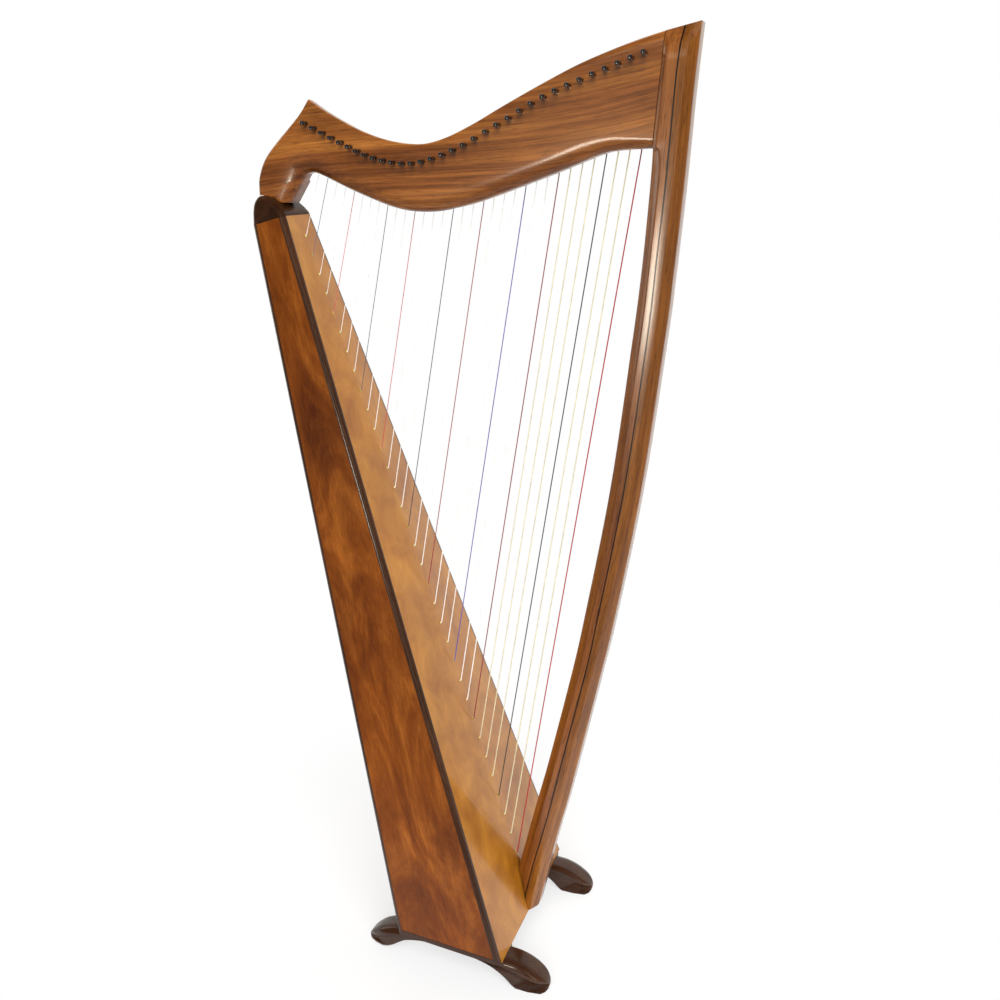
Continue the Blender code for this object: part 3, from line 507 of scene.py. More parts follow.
def string_material(name, colour, wound=False, translucent=0.0, painted_glow=0.0):
    mat = bpy.data.materials.new(name)
    mat.use_nodes = True
    tree = mat.node_tree
    shader = tree.nodes["Principled BSDF"]
    coord = tree.nodes.new("ShaderNodeTexCoord")
    noise = tree.nodes.new("ShaderNodeTexNoise")
    noise.inputs["Scale"].default_value = 60.0
    noise.inputs["Detail"].default_value = 2.0
    tree.links.new(coord.outputs["Object"], noise.inputs["Vector"])
    ramp = tree.nodes.new("ShaderNodeValToRGB")
    ramp.color_ramp.elements[0].position = 0.35
    ramp.color_ramp.elements[0].color = tuple(c * 0.9 for c in colour[:3]) + (1.0,)
    ramp.color_ramp.elements[1].position = 0.7
    ramp.color_ramp.elements[1].color = tuple(min(c * 1.08, 1.0) for c in colour[:3]) + (1.0,)
    tree.links.new(noise.outputs["Fac"], ramp.inputs["Fac"])
    tree.links.new(ramp.outputs["Color"], shader.inputs["Base Color"])
    wave = tree.nodes.new("ShaderNodeTexWave")
    wave.bands_direction = "Z"
    wave.inputs["Scale"].default_value = 500.0 if wound else 40.0
    wave.inputs["Distortion"].default_value = 0.0 if wound else 3.0
    tree.links.new(coord.outputs["Object"], wave.inputs["Vector"])
    bumper = tree.nodes.new("ShaderNodeBump")
    bumper.inputs["Strength"].default_value = 0.5 if wound else 0.05
    bumper.inputs["Distance"].default_value = 0.0002
    tree.links.new(wave.outputs["Fac"], bumper.inputs["Height"])
    tree.links.new(bumper.outputs["Normal"], shader.inputs["Normal"])
    shader.inputs["Roughness"].default_value = 0.3
    # Painted glow: an emission in the string's own colour, a painted brightness that stands in for light
    # falling on the string.
    shader.inputs["Emission Color"].default_value = tuple(colour[:3]) + (1.0,)
    shader.inputs["Emission Strength"].default_value = painted_glow
    if translucent:
        # Clear nylon and gut let the light behind them through.
        through = tree.nodes.new("ShaderNodeBsdfTranslucent")
        tree.links.new(ramp.outputs["Color"], through.inputs["Color"])
        both = tree.nodes.new("ShaderNodeMixShader")
        both.inputs["Fac"].default_value = translucent
        tree.links.new(shader.outputs[0], both.inputs[1])
        tree.links.new(through.outputs[0], both.inputs[2])
        tree.links.new(both.outputs[0], tree.nodes["Material Output"].inputs["Surface"])
    return mat


# ---------------------------------------------------------------- the box's lines
def front_x(z):
    return -FRONT_SLOPE * (z - BOX_BOTTOM)


def back_x(z):
    return BACK_AT_BOTTOM - BACK_SLOPE * (z - BOX_BOTTOM)


def up(z):
    return (z - BOX_BOTTOM) / (BOX_TOP - BOX_BOTTOM)


def front_half(z):
    return lerp(FRONT_HALF[0], FRONT_HALF[1], up(z))


def back_half(z):
    return lerp(BACK_HALF[0], BACK_HALF[1], up(z))


def belly(z, across=0.0):
    t = 1.0 - up(z)
    return BELLY * 4 * max(t * (1 - t), 0.0) * (1 - abs(across) ** 1.3)


def cut_z(x):
    return BOX_TOP + CUT_SLOPE * (x - front_x(BOX_TOP))


def on_cut(corner):
    z = BOX_TOP
    for _ in range(40):
        z = cut_z(corner(z)[0])
    return z


def box_rings(corners, heights):
    rings = [[(*corner(z), z) for corner in corners] for z in heights]
    top = []
    for corner in corners:
        z = on_cut(corner)
        top.append((*corner(z), z))
    rings.append(top)
    return rings


SLOPE_FRONT = math.atan(FRONT_SLOPE)
SLOPE_BACK = math.atan(BACK_SLOPE)


def along_front(x, y, z):
    return (z * math.cos(SLOPE_FRONT) - x * math.sin(SLOPE_FRONT), y,
            x * math.cos(SLOPE_FRONT) + z * math.sin(SLOPE_FRONT))


def along_back(x, y, z):
    return (z * math.cos(SLOPE_BACK) - x * math.sin(SLOPE_BACK), y,
            x * math.cos(SLOPE_BACK) + z * math.sin(SLOPE_BACK))


def along_side(x, y, z):
    """Side panels: the grain runs up the panel, between its two slopes."""
    slope = (SLOPE_FRONT + SLOPE_BACK) / 2
    return (z * math.cos(slope) - x * math.sin(slope),
            x * math.cos(slope) + z * math.sin(slope), y)


# Corner posts, with a rounded outer corner.
for side, word in ((-1, "right"), (1, "left")):
    for at_front in (True, False):
        corners = []
        steps = 9
        for k in range(steps):
            turn = math.radians(90 * k / (steps - 1))
            deep = POST_DEPTH * 0.95 * (1 - math.cos(turn))
            wide = POST_WIDTH * 0.95 * (1 - math.sin(turn))
            if at_front:
                corners.append(lambda z, d=deep, w=wide: (front_x(z) - d, side * (front_half(z) - w)))
            else:
                corners.append(lambda z, d=deep, w=wide: (back_x(z) + d, side * (back_half(z) - w)))
        for d, w in ((POST_DEPTH, 0.0), (POST_DEPTH, POST_WIDTH), (0.0, POST_WIDTH)):
            if at_front:
                corners.append(lambda z, d=d, w=w: (front_x(z) - d, side * (front_half(z) - w)))
            else:
                corners.append(lambda z, d=d, w=w: (back_x(z) + d, side * (back_half(z) - w)))
        # The last corner closes against the first rounded point.
        name = ("front" if at_front else "back") + "_corner_post_" + word
        levels = [lerp(BOX_BOTTOM, BOX_TOP - 0.02, k / 24) for k in range(25)]
        post = skin(name + "_shaped", box_rings(corners, levels), 35)
        grain(post, along_front if at_front else along_back)
        dress(post, DARK_WOOD)
        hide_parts(name)
        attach(post, HARP)

# Soundboard.
ACROSS = [-1 + 2 * k / 20 for k in range(21)]


def board_half(z):
    return front_half(z) - POST_WIDTH - GAP


corners = [(lambda z, v=v: (front_x(z) + belly(z, v), v * board_half(z))) for v in ACROSS]
corners += [(lambda z, v=v: (front_x(z) + belly(z, v) - BOARD_THICK * 1.057, v * board_half(z)))
            for v in reversed(ACROSS)]
levels = [lerp(BOX_BOTTOM, BOX_TOP, k / 60) for k in range(60)]
board = skin("soundboard_crowned", box_rings(corners, levels), 30)
grain(board, along_front)
dress(board, BOARD_WOOD)
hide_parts("soundboard")
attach(board, HARP)

# Back panel, with its sound holes cut clean and their edges eased.
inner = POST_WIDTH + GAP
back = skin("back_panel_shaped", box_rings([
    lambda z: (back_x(z), -(back_half(z) - inner)),
    lambda z: (back_x(z), back_half(z) - inner),
    lambda z: (back_x(z) + BACK_THICK, back_half(z) - inner),
    lambda z: (back_x(z) + BACK_THICK, -(back_half(z) - inner))],
    [BOX_BOTTOM]), 30)
edit = bmesh.new()
for z, half_wide, half_high in SOUND_HOLES:
    place = (Matrix.Translation((back_x(z) + 0.002 + X_SHIFT, 0, z))
             @ Matrix.Rotation(-math.atan(BACK_SLOPE), 4, "Y")
             @ Matrix.Diagonal((1.0, half_wide, half_high, 1.0))
             @ Matrix.Rotation(math.radians(90), 4, "Y"))
    bmesh.ops.create_cone(edit, cap_ends=True, segments=72, radius1=1.0, radius2=1.0,
                          depth=0.03, matrix=place)
cutter_mesh = bpy.data.meshes.new("hole_cutter")
edit.to_mesh(cutter_mesh)
edit.free()
cutter = new_object("hole_cutter", cutter_mesh)
cut = back.modifiers.new("holes", "BOOLEAN")
cut.operation = "DIFFERENCE"
cut.object = cutter
bpy.context.view_layer.update()
graph = bpy.context.evaluated_depsgraph_get()
made = bpy.data.meshes.new_from_object(back.evaluated_get(graph))
back.modifiers.clear()
back.data = made
bpy.data.objects.remove(cutter, do_unlink=True)
shade(back, 30)
soften(back, 0.0009, 2, 40)
grain(back, along_back)
dress(back, SIDE_WOOD)
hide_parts("back_panel")
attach(back, HARP)

# Side panels, let in between the posts, with slightly eased edges.
def side_y(x, z):
    part = (x - back_x(z)) / (front_x(z) - back_x(z))
    return lerp(back_half(z), front_half(z), part)


for side, word in ((-1, "right"), (1, "left")):
    inset = POST_DEPTH + GAP * 0.5
    levels = [lerp(BOX_BOTTOM + 0.0083, BOX_TOP - 0.02, k / 30) for k in range(31)]
    panel = skin("side_panel_%s_shaped" % word, box_rings([
        lambda z: (front_x(z) - inset, side * side_y(front_x(z) - inset, z)),
        lambda z: (back_x(z) + inset, side * side_y(back_x(z) + inset, z)),
        lambda z: (back_x(z) + inset, side * (side_y(back_x(z) + inset, z) - 0.006)),
        lambda z: (front_x(z) - inset, side * (side_y(front_x(z) - inset, z) - 0.006))],
        levels), 30)
    soften(panel, 0.0006, 2, 50)
    grain(panel, along_side)
    dress(panel, SIDE_WOOD)
    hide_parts("side_panel_" + word)
    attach(panel, HARP)

# ---------------------------------------------------------------- top block
block = [(front_x(BOX_TOP), BOX_TOP + GAP), (front_x(1.2335), 1.2335)]
block += catmull(BLOCK_TOP, 6)
back_top = on_cut(lambda z: (back_x(z), 0))
block.append((back_x(back_top + GAP), back_top + GAP))
dense = [block[0]]
for a, b in zip(block, block[1:]):
    for k in range(1, 3):
        dense.append((lerp(a[0], b[0], k / 2), lerp(a[1], b[1], k / 2)))
block = dense
count = len(block)
bottom_dir = Vector((block[-1][0] - block[0][0], block[-1][1] - block[0][1])).normalized()
inward = []
for k, (x, z) in enumerate(block):
    if k == 0:
        inward.append(bottom_dir)
    elif k == count - 1:
        inward.append(-bottom_dir)
    else:
        a, b = block[k - 1], block[k + 1]
        tangent = Vector((b[0] - a[0], b[1] - a[1])).normalized()
        inward.append(Vector((-tangent.y, tangent.x)))
if inward[count // 2].y > 0:
    inward = [inward[0]] + [-v for v in inward[1:-1]] + [inward[-1]]


def block_radius(k):
    """The rim's rounding: as wide as the posts' at the front, wider over the top."""
    return lerp(0.0078, 0.0088, smooth(k / (count * 0.4)))


half = FRONT_HALF[1] - 0.0004
steps = 10
rings = [(-half + 0.0078 * (1 - math.cos(math.radians(90 * k / steps))),
          1 - math.sin(math.radians(90 * k / steps))) for k in range(steps + 1)]
rings += [(y, 0.0) for y in (-half * 0.5, 0.0, half * 0.5)]
rings += [(-y, inset) for y, inset in reversed(rings[:steps + 1])]
solid = []
for y, inset in rings:
    ring = []
    for k, (x, z) in enumerate(block):
        shift = inset * block_radius(k)
        ring.append((x + inward[k].x * shift, y, z + inward[k].y * shift))
    solid.append(ring)
top_block = skin("top_block_shaped", solid, 32)
grain(top_block, lambda x, y, z: (y, x, z))
dress(top_block, BLOCK_WOOD)
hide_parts("top_block")
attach(top_block, HARP)

# ---------------------------------------------------------------- neck
outer_a = Chain(catmull(NECK_BACK, 10))
outer_b = Chain(catmull(NECK_TOP, 10))
low_points = list(reversed(catmull(NECK_LOW, 10)))
low_chain = Chain(low_points)
foot_chain = Chain(NECK_FOOT)


def nearest_share(chain, point):
    best = min(range(401), key=lambda k: math.dist(chain.at(k / 400), point))
    return best / 400


OUTER_KINK = nearest_share(outer_a, (-0.4595, 1.2750))
LOW_PEAK = nearest_share(low_chain, (-0.3600, 1.2905))
LOW_DIP = nearest_share(low_chain, (-0.1914, 1.2389))
TOP_DIP = nearest_share(outer_b, (-0.1958, 1.3325))


def neck_pair(station):
    """(inner point, outer point) at a station: 0 the foot, 1 the kink, 2 the peak, 3 the
    dip, 4 the pillar."""
    if station <= 1:
        inner_point = (lerp(NECK_FOOT[0][0], NECK_KINK[0], station),
                       lerp(NECK_FOOT[0][1], NECK_KINK[1], station))
        return inner_point, outer_a.at(OUTER_KINK * station)
    if station <= 2:
        t = station - 1
        share = LOW_PEAK * t
        first = low_chain.at(0.0)
        if t < 0.35:
            u = t / 0.35
            inner_point = (lerp(NECK_KINK[0], first[0], u), lerp(NECK_KINK[1], first[1], u))
        else:
            inner_point = low_chain.at(LOW_PEAK * (t - 0.35) / 0.65)
        return inner_point, outer_a.at(lerp(OUTER_KINK, 1.0, t))
    if station <= 3:
        t = station - 2
        return low_chain.at(lerp(LOW_PEAK, LOW_DIP, t)), outer_b.at(TOP_DIP * t)
    t = station - 3
    return low_chain.at(lerp(LOW_DIP, 1.0, t)), outer_b.at(lerp(TOP_DIP, 1.0, t))


stations = ([k / 10 for k in range(10)] + [1 + k / 40 for k in range(40)]
            + [2 + k / 50 for k in range(50)] + [3 + k / 100 for k in range(101)])
ROUND_TALL = [(0.0, 0.038), (1.0, 0.042), (1.6, 0.036), (2.2, 0.030), (3.0, 0.028),
              (3.55, 0.026), (3.72, 0.0255), (3.82, 0.020), (3.90, 0.0160), (4.0, 0.0128)]
ROUND_DEEP = [(0.0, 0.0160), (1.0, 0.0165), (2.0, 0.0175), (3.0, 0.0175), (3.6, 0.0150),
              (4.0, 0.0110)]
FAR_TALL = [(0.0, 0.0012), (1.0, 0.0012), (1.08, 0.0080), (4.0, 0.0080)]
TOP_TALL = [(0.0, 0.0065), (1.6, 0.0055), (1.95, 0.0016), (2.05, 0.0014), (3.0, 0.0018),
            (3.5, 0.0040), (3.8, 0.0085), (4.0, 0.0135)]
TOP_DEEP = [(0.0, 0.0060), (1.6, 0.0055), (1.95, 0.0016), (2.05, 0.0014), (3.0, 0.0018),
            (3.5, 0.0035), (3.8, 0.0050), (4.0, 0.0060)]
# The far edge of the top is eased much more round the peak.
FAR_TOP_TALL = [(0.0, 0.0030), (1.5, 0.0035), (1.92, 0.0200), (2.80, 0.0200), (3.05, 0.0050),
                (4.0, 0.0040)]
FAR_TOP_DEEP = [(0.0, 0.0030), (1.5, 0.0060), (1.92, 0.0335), (2.80, 0.0335), (3.05, 0.0070),
                (4.0, 0.0040)]

neck_rings, neck_grain = [], []
neck_path = 0.0
last_middle = None
for station in stations:
    a, b = neck_pair(station)
    length = math.dist(a, b)
    direction = ((b[0] - a[0]) / length, (b[1] - a[1]) / length)
    tall = min(ramp_of(ROUND_TALL, station), 0.6 * length)
    deep = ramp_of(ROUND_DEEP, station)
    far = ramp_of(FAR_TALL, station)
    top_tall, top_deep = ramp_of(TOP_TALL, station), ramp_of(TOP_DEEP, station)
    shape = []
    for k in range(13):
        turn = math.radians(90 * k / 12)
        shape.append((tall * (1 - math.cos(turn)), -(NECK_HALF - deep) - deep * math.sin(turn)))
    for k in range(1, 6):
        shape.append((lerp(tall, length - top_tall, k / 6), -NECK_HALF))
    for k in range(6):
        turn = math.radians(90 * k / 5)
        shape.append((length - top_tall + top_tall * math.sin(turn),
                      -(NECK_HALF - top_deep) - top_deep * math.cos(turn)))
    far_tall, far_deep = ramp_of(FAR_TOP_TALL, station), ramp_of(FAR_TOP_DEEP, station)
    shape.append((length, lerp(-(NECK_HALF - top_deep), NECK_HALF - far_deep, 0.5)))
    for k in range(8):
        turn = math.radians(90 * k / 7)
        shape.append((length - far_tall * (1 - math.cos(turn)),
                      NECK_HALF - far_deep + far_deep * math.sin(turn)))
    for k in range(1, 5):
        shape.append((lerp(length - far_tall, far, k / 5), NECK_HALF))
    for k in range(7):
        turn = math.radians(90 * k / 6)
        shape.append((far - far * math.sin(turn), NECK_HALF - far + far * math.cos(turn)))
    low_y = -(NECK_HALF - deep)
    for k in (1, 2):
        shape.append((0.0, lerp(NECK_HALF - far, low_y, k / 3)))
    ring = []
    for p, y in shape:
        x, z = a[0] + direction[0] * p, a[1] + direction[1] * p
        if station < 1.0:
            # The foot is fitted to the curved top of the block under it.
            base = foot_chain.at(p / length)
            a0, b0 = neck_pair(0.0)
            flat = (lerp(a0[0], b0[0], p / length), lerp(a0[1], b0[1], p / length))
            keep = (1.0 - station) ** 1.5
            x += (base[0] - flat[0]) * keep
            z += (base[1] - flat[1]) * keep
        ring.append((x, y, z))
    neck_rings.append(ring)
neck = skin("neck_shaped", neck_rings, 38)


def neck_grain_at(x, y, z):
    """Straight-grained plank, its grain rising slightly to the pillar."""
    slope = math.radians(9.0)
    bow = 0.02 * math.sin((x + 0.2) * 6.0)
    return (x * math.cos(slope) + z * math.sin(slope),
            -x * math.sin(slope) + z * math.cos(slope) + bow, y)


grain(neck, neck_grain_at)
dress(neck, NECK_WOOD)
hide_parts("neck")
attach(neck, HARP)

# ---------------------------------------------------------------- pillar
inner_x = curve_x(PILLAR_INNER)
stripe_x = curve_x(PILLAR_STRIPE)
outer_x = curve_x(PILLAR_FRONT)


def pillar_top(x):
    return PILLAR_TOP_AT[1] + PILLAR_TOP_SLOPE * (x - PILLAR_TOP_AT[0])


def board_limit(z):
    return front_x(z) + belly(z) + 0.0004


def at_top(line, fall):
    z = PILLAR_TOP_AT[1]
    for _ in range(40):
        z = pillar_top(line(z)) - fall
    return z


def neck_end(z):
    (xa, za), (xb, zb) = NECK_LOW[0], NECK_TOP[-1]
    return xa + (xb - xa) * (z - za) / (zb - za)


def inner_edge(z):
    free = inner_x(z)
    if z > 1.3255:
        free = max(free, neck_end(z) + GAP)
    return max(free, board_limit(z))


def bevels(z):
    wide = (PILLAR_BEVEL, PILLAR_HALF - PILLAR_FACE)
    slight = (0.0055, PILLAR_HALF - NECK_HALF)
    if z <= 1.300:
        return wide
    if z >= 1.328:
        return slight
    t = (z - 1.300) / 0.028
    part = 1 - math.sqrt(max(1 - t * t, 0.0))
    return tuple(lerp(a, b, part) for a, b in zip(wide, slight))


def round_ring(points, radii, n=3):
    """Softens the corners of a closed ring of (x, y, z) points."""
    out = []
    total = len(points)
    for i, (p, r) in enumerate(zip(points, radii)):
        p = Vector(p)
        a, b = Vector(points[i - 1]), Vector(points[(i + 1) % total])
        if r <= 0:
            out += [tuple(p)] * (n + 1)
            continue
        da, db = (a - p), (b - p)
        ra = min(r, 0.45 * da.length)
        rb = min(r, 0.45 * db.length)
        pa, pb = p + da.normalized() * ra, p + db.normalized() * rb
        for k in range(n + 1):
            t = k / n
            out.append(tuple(pa * (1 - t) ** 2 + p * 2 * t * (1 - t) + pb * t * t))
    return out


def levels_between(low, high, count, extra=()):
    made = [lerp(low, high, k / (count - 1)) for k in range(count)]
    return sorted(set(made) | set(extra))


TOP_SQUEEZE = PILLAR_FACE / PILLAR_HALF


def section_inner(z_of, squeeze=1.0):
    z = z_of(inner_edge)
    x0 = inner_edge(z)
    zs = z_of(lambda q: stripe_x(q) - STRIPE_HALF - GAP * 0.3)
    x1 = stripe_x(zs) - STRIPE_HALF - GAP * 0.3
    wide, deep = bevels(z)
    wide = min(wide, 0.6 * (x1 - x0))
    zb = z_of(lambda q: inner_edge(q) + wide)
    y_face = PILLAR_HALF * squeeze
    y_edge = min((PILLAR_HALF - deep), y_face)
    ring = [(x0, -y_edge, z), (x0 + wide, -y_face, zb), (x1, -y_face, zs),
            (x1, y_face, zs), (x0 + wide, y_face, zb), (x0, y_edge, z)]
    return round_ring(ring, (0.0012, 0.0012, 0.0, 0.0, 0.0012, 0.0012))


def pillar_levels(low, high):
    return levels_between(low, high, 90, [1.300 + 0.028 * k / 10 for k in range(11)])


def with_top(section, levels):
    rings = [section(lambda line, z=z: z) for z in levels]
    for k in range(0, 6):
        t = k / 5
        rings.append(section(lambda line, t=t: at_top(line, TOP_BEVEL * (1 - t)),
                             lerp(1.0, TOP_SQUEEZE, t)))
    return rings


inner_piece = skin("pillar_inner_shaped", with_top(section_inner, pillar_levels(0.090, 1.428)), 28)


def section_stripe(z_of, squeeze=1.0):
    za = z_of(lambda q: stripe_x(q) - STRIPE_HALF)
    zb = z_of(lambda q: stripe_x(q) + STRIPE_HALF)
    xa = max(stripe_x(za) - STRIPE_HALF, board_limit(za))
    xb = stripe_x(zb) + STRIPE_HALF
    half_y = PILLAR_HALF * squeeze
    return [(xa, -half_y, za), (xb, -half_y, zb), (xb, half_y, zb), (xa, half_y, za)]


stripe_piece = skin("pillar_accent_shaped", with_top(section_stripe, pillar_levels(0.076, 1.428)), 28)


def outer_inner_edge(z):
    if z < 0.072:
        return board_limit(z)
    return max(stripe_x(z) + STRIPE_HALF + GAP * 0.3, board_limit(z))


def foot_round(z):
    rise = z - 0.0520
    radius = 0.012
    if rise >= radius:
        return 0.0
    return radius - math.sqrt(max(radius ** 2 - (radius - rise) ** 2, 0.0))


def section_outer(z_of, squeeze=1.0):
    z = z_of(outer_inner_edge)
    x0 = outer_inner_edge(z)
    front = lambda q: outer_x(q) - foot_round(q)
    zf = z_of(front)
    x1 = front(zf)
    wide = min(PILLAR_BEVEL, 0.6 * (x1 - x0))
    zb = z_of(lambda q: front(q) - wide)
    y_face = PILLAR_HALF * squeeze
    y_edge = min(PILLAR_FACE, y_face)
    ring = [(x0, -y_face, z), (x1 - wide, -y_face, zb), (x1, -y_edge, zf),
            (x1, y_edge, zf), (x1 - wide, y_face, zb), (x0, y_face, z)]
    return round_ring(ring, (0.0, 0.0012, 0.0014, 0.0014, 0.0012, 0.0))


foot_levels = [0.0535 + 0.011 * (1 - math.cos(math.radians(90 * k / 7))) for k in range(8)]
outer_piece = skin("pillar_outer_shaped", with_top(
    section_outer, foot_levels + pillar_levels(0.070, 1.428)), 28)


def pillar_grain(x, y, z):
    """The laminations are bent, so the grain follows the pillar."""
    return (z * 1.06, x - stripe_x(z), y)


for piece, node, mat, slot in (
        (inner_piece, "pillar_inner_lamination", INNER_PILLAR_WOOD, "frame_wood"),
        (stripe_piece, "pillar_accent_strip", VENEER, "veneer"),
        (outer_piece, "pillar_outer_lamination", OUTER_PILLAR_WOOD, "frame_wood")):
    grain(piece, pillar_grain)
    dress(piece, mat)
    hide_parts(node)
    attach(piece, HARP)

# ---------------------------------------------------------------- feet
FOOT_FRONT = [(0.0768, 0.0120), (0.0752, 0.0180), (0.0700, 0.0245), (0.0620, 0.0310),
              (0.0500, 0.0385), (0.0360, 0.0450), (0.0200, 0.0492), (0.0010, 0.0505)]
FOOT_BACK = [(-0.1924, 0.0505), (-0.2067, 0.0470), (-0.2210, 0.0420), (-0.2340, 0.0355),
             (-0.2440, 0.0280), (-0.2530, 0.0190), (-0.2595, 0.0090)]
FOOT_ARCH = [(-0.2290, 0.0), (-0.2180, 0.0045), (-0.2065, 0.0120), (-0.1940, 0.0225),
             (-0.1780, 0.0325), (-0.1450, 0.0405), (-0.1000, 0.0410), (-0.0600, 0.0385),
             (-0.0300, 0.0330), (-0.0100, 0.0245), (0.0050, 0.0140), (0.0140, 0.0055),
             (0.0220, 0.0)]
# For each point of the outline: how the outer and the inner long edges are rounded there.
outline, rounds = [], []
ROUND_FRONT = [(0.0, 0.0140), (0.055, 0.0120), (0.0768, 0.0060)]
ROUND_BACK = [(-0.2595, 0.0060), (-0.2450, 0.0120), (-0.2100, 0.0140), (-0.1950, 0.0140)]
for point in catmull(FOOT_FRONT, 5):
    outline.append(point)
    rounds.append((ramp_of(ROUND_FRONT, point[0]), 1.45, 0.7))
outline.append((0.0002, 0.0505))
rounds.append((0.0, 1.0, 1.0))
for k in range(1, 13):
    outline.append((lerp(0.0002, -0.1915, k / 12), 0.0505))
    rounds.append((0.0, 1.0, 1.0))
for point in catmull(FOOT_BACK, 5):
    outline.append(point)
    rounds.append((ramp_of(ROUND_BACK, point[0]), 1.3, 0.7))
for point in ((-0.2590, 0.0040), (-0.2560, 0.0010)):
    outline.append(point)
    rounds.append((0.0040, 1.3, 1.0))
for point in ((-0.2520, 0.0), (-0.2420, 0.0)):
    outline.append(point)
    rounds.append((0.0080, 1.0, 0.5))
for point in catmull(FOOT_ARCH, 4):
    outline.append(point)
    rounds.append((ramp_of([(-0.229, 0.008), (-0.200, 0.0025), (-0.17, 0.0015)], point[0]), 1.0, 0.5))
for point in ((0.0440, 0.0), (0.0650, 0.0), (0.0720, 0.0022), (0.0755, 0.0065)):
    outline.append(point)
    rounds.append((0.0020, 1.0, 1.0))
count = len(outline)
area = sum(outline[k][0] * outline[(k + 1) % count][1] - outline[(k + 1) % count][0] * outline[k][1]
           for k in range(count))
inward = []
for k in range(count):
    a, b = outline[k - 1], outline[(k + 1) % count]
    tangent = Vector((b[0] - a[0], b[1] - a[1])).normalized()
    turned = Vector((-tangent.y, tangent.x))
    inward.append(turned if area > 0 else -turned)


def foot_taper(x):
    """The feet round off towards their tips, seen from above."""
    s = max((x - 0.048) / 0.0292, (-0.215 - x) / 0.0455, 0.0)
    return math.sqrt(max(1.0 - min(s, 1.0) ** 2, 0.010))


for side, word in ((-1, "right"), (1, "left")):
    steps = 10
    solid = []
    for mirror in (-1, 1):
        order = range(steps, -1, -1) if mirror < 0 else range(steps + 1)
        outer = mirror == side
        for k in order:
            turn = math.radians(90 * k / steps)
            along, inset = 1 - math.cos(turn), 1 - math.sin(turn)
            ring = []
            for i, (x, z) in enumerate(outline):
                r, wide, inner_share = rounds[i]
                if not outer:
                    r = r * inner_share
                    wide = 1.0
                y = mirror * (RAIL_HALF - r * wide * (1 - math.sin(turn))) * foot_taper(x)
                push = r * (1 - math.cos(turn))
                zz = z + inward[i].y * push
                ring.append((x + inward[i].x * push, side * RAIL_Y + y, max(zz, 0.0)))
            solid.append(ring)
    rail = skin("foot_rail_%s_shaped" % word, solid, 35)
    grain(rail, lambda x, y, z: (x, z, y))
    dress(rail, DARK_WOOD)
    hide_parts("foot_rail_" + word)
    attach(rail, HARP)

# ---------------------------------------------------------------- strings
BOARD_LENGTH = math.hypot(front_x(BOX_TOP), BOX_TOP - BOX_BOTTOM)
BOARD_NORMAL = Vector((1.0, 0.0, FRONT_SLOPE)).normalized()
PIN_POINTS = catmull(PIN_LINE, 4)
SETS = [("treble_strings", 0, 9), ("upper_middle_strings", 9, 18),
        ("lower_middle_strings", 18, 26), ("bass_strings", 26, 33)]


def eyelet(i):
    along = FIRST_STRING + SPACING * i + SPACING_GROWTH * i * i / 32
    z = BOX_TOP - (BOX_TOP - BOX_BOTTOM) * along / BOARD_LENGTH
    return Vector((front_x(z) + belly(z), 0.0, z))


def string_radius(i):
    return 0.00042 + 0.00050 * (i / 32) ** 1.3


def string_run(i):
    at = eyelet(i)
    px, pz = PIN_POINTS[i]
    radius = string_radius(i)
    end = Vector((px + PIN_RADIUS + 0.0005 + radius, STRING_Y + 0.0030, pz))
    low = at + BOARD_NORMAL * 0.0030
    along = (end - low).normalized()
    reach = (end - low).length
    side = Vector((along.z, 0.0, -along.x)).normalized()
    bridge = low + along * (reach - BRIDGE_LENGTH) + side * 0.0022
    bridge.y = STRING_Y
    knot = at - BOARD_NORMAL * (BOARD_THICK + RIB_THICK + 0.0035)
    pin = bridge - side * (BRIDGE_RADIUS + radius + 0.0005)
    return knot, low, bridge, end, pin, side


CLEAR = srgb(238, 236, 226)
CREAM = srgb(232, 226, 196)
COLOURS = {2: srgb(86, 98, 122), 5: srgb(214, 92, 84), 9: srgb(66, 74, 90), 12: srgb(198, 66, 66),
           16: srgb(44, 54, 78), 19: srgb(150, 30, 42), 23: srgb(84, 80, 168),
           26: srgb(134, 18, 32), 30: srgb(38, 58, 52), 33: srgb(186, 20, 40)}
# The clear and wound cream strings get a painted glow (emission) that stands in for light on them.
clear = string_material("string_clear", (0.97, 0.96, 0.93, 1.0), False, 0.5, 0.30)
cream = string_material("string_wound_cream", CREAM, True, 0.35, 0.22)
coloured = {number: string_material("string_colour_%02d" % number, colour, number > 26)
            for number, colour in COLOURS.items()}


def tube(name, points, radius, mat, body=HARP, resolution=3):
    data = bpy.data.curves.new(name, "CURVE")
    data.dimensions = "3D"
    data.bevel_depth = radius
    data.bevel_resolution = resolution
    data.use_fill_caps = True
    spline = data.splines.new("POLY")
    spline.points.add(len(points) - 1)
    for point, place in zip(spline.points, points):
        point.co = (place[0] + X_SHIFT, place[1], place[2], 1.0)
    obj = bpy.data.objects.new(name, data)
    bpy.context.scene.collection.objects.link(obj)
    data.materials.append(mat)
    return obj


# One eyelet and one pin as shared meshes.
tilt = BOARD_NORMAL.to_track_quat("Z", "Y").to_matrix().to_4x4()
eyelet_profile = [(0.00105, -0.0030), (0.0016, -0.0030), (0.0016, 0.0000), (0.0026, 0.0001),
                  (0.0027, 0.0004), (0.0024, 0.0008), (0.0018, 0.0010), (0.0013, 0.0008),
                  (0.00105, 0.0003), (0.00105, -0.0030)]


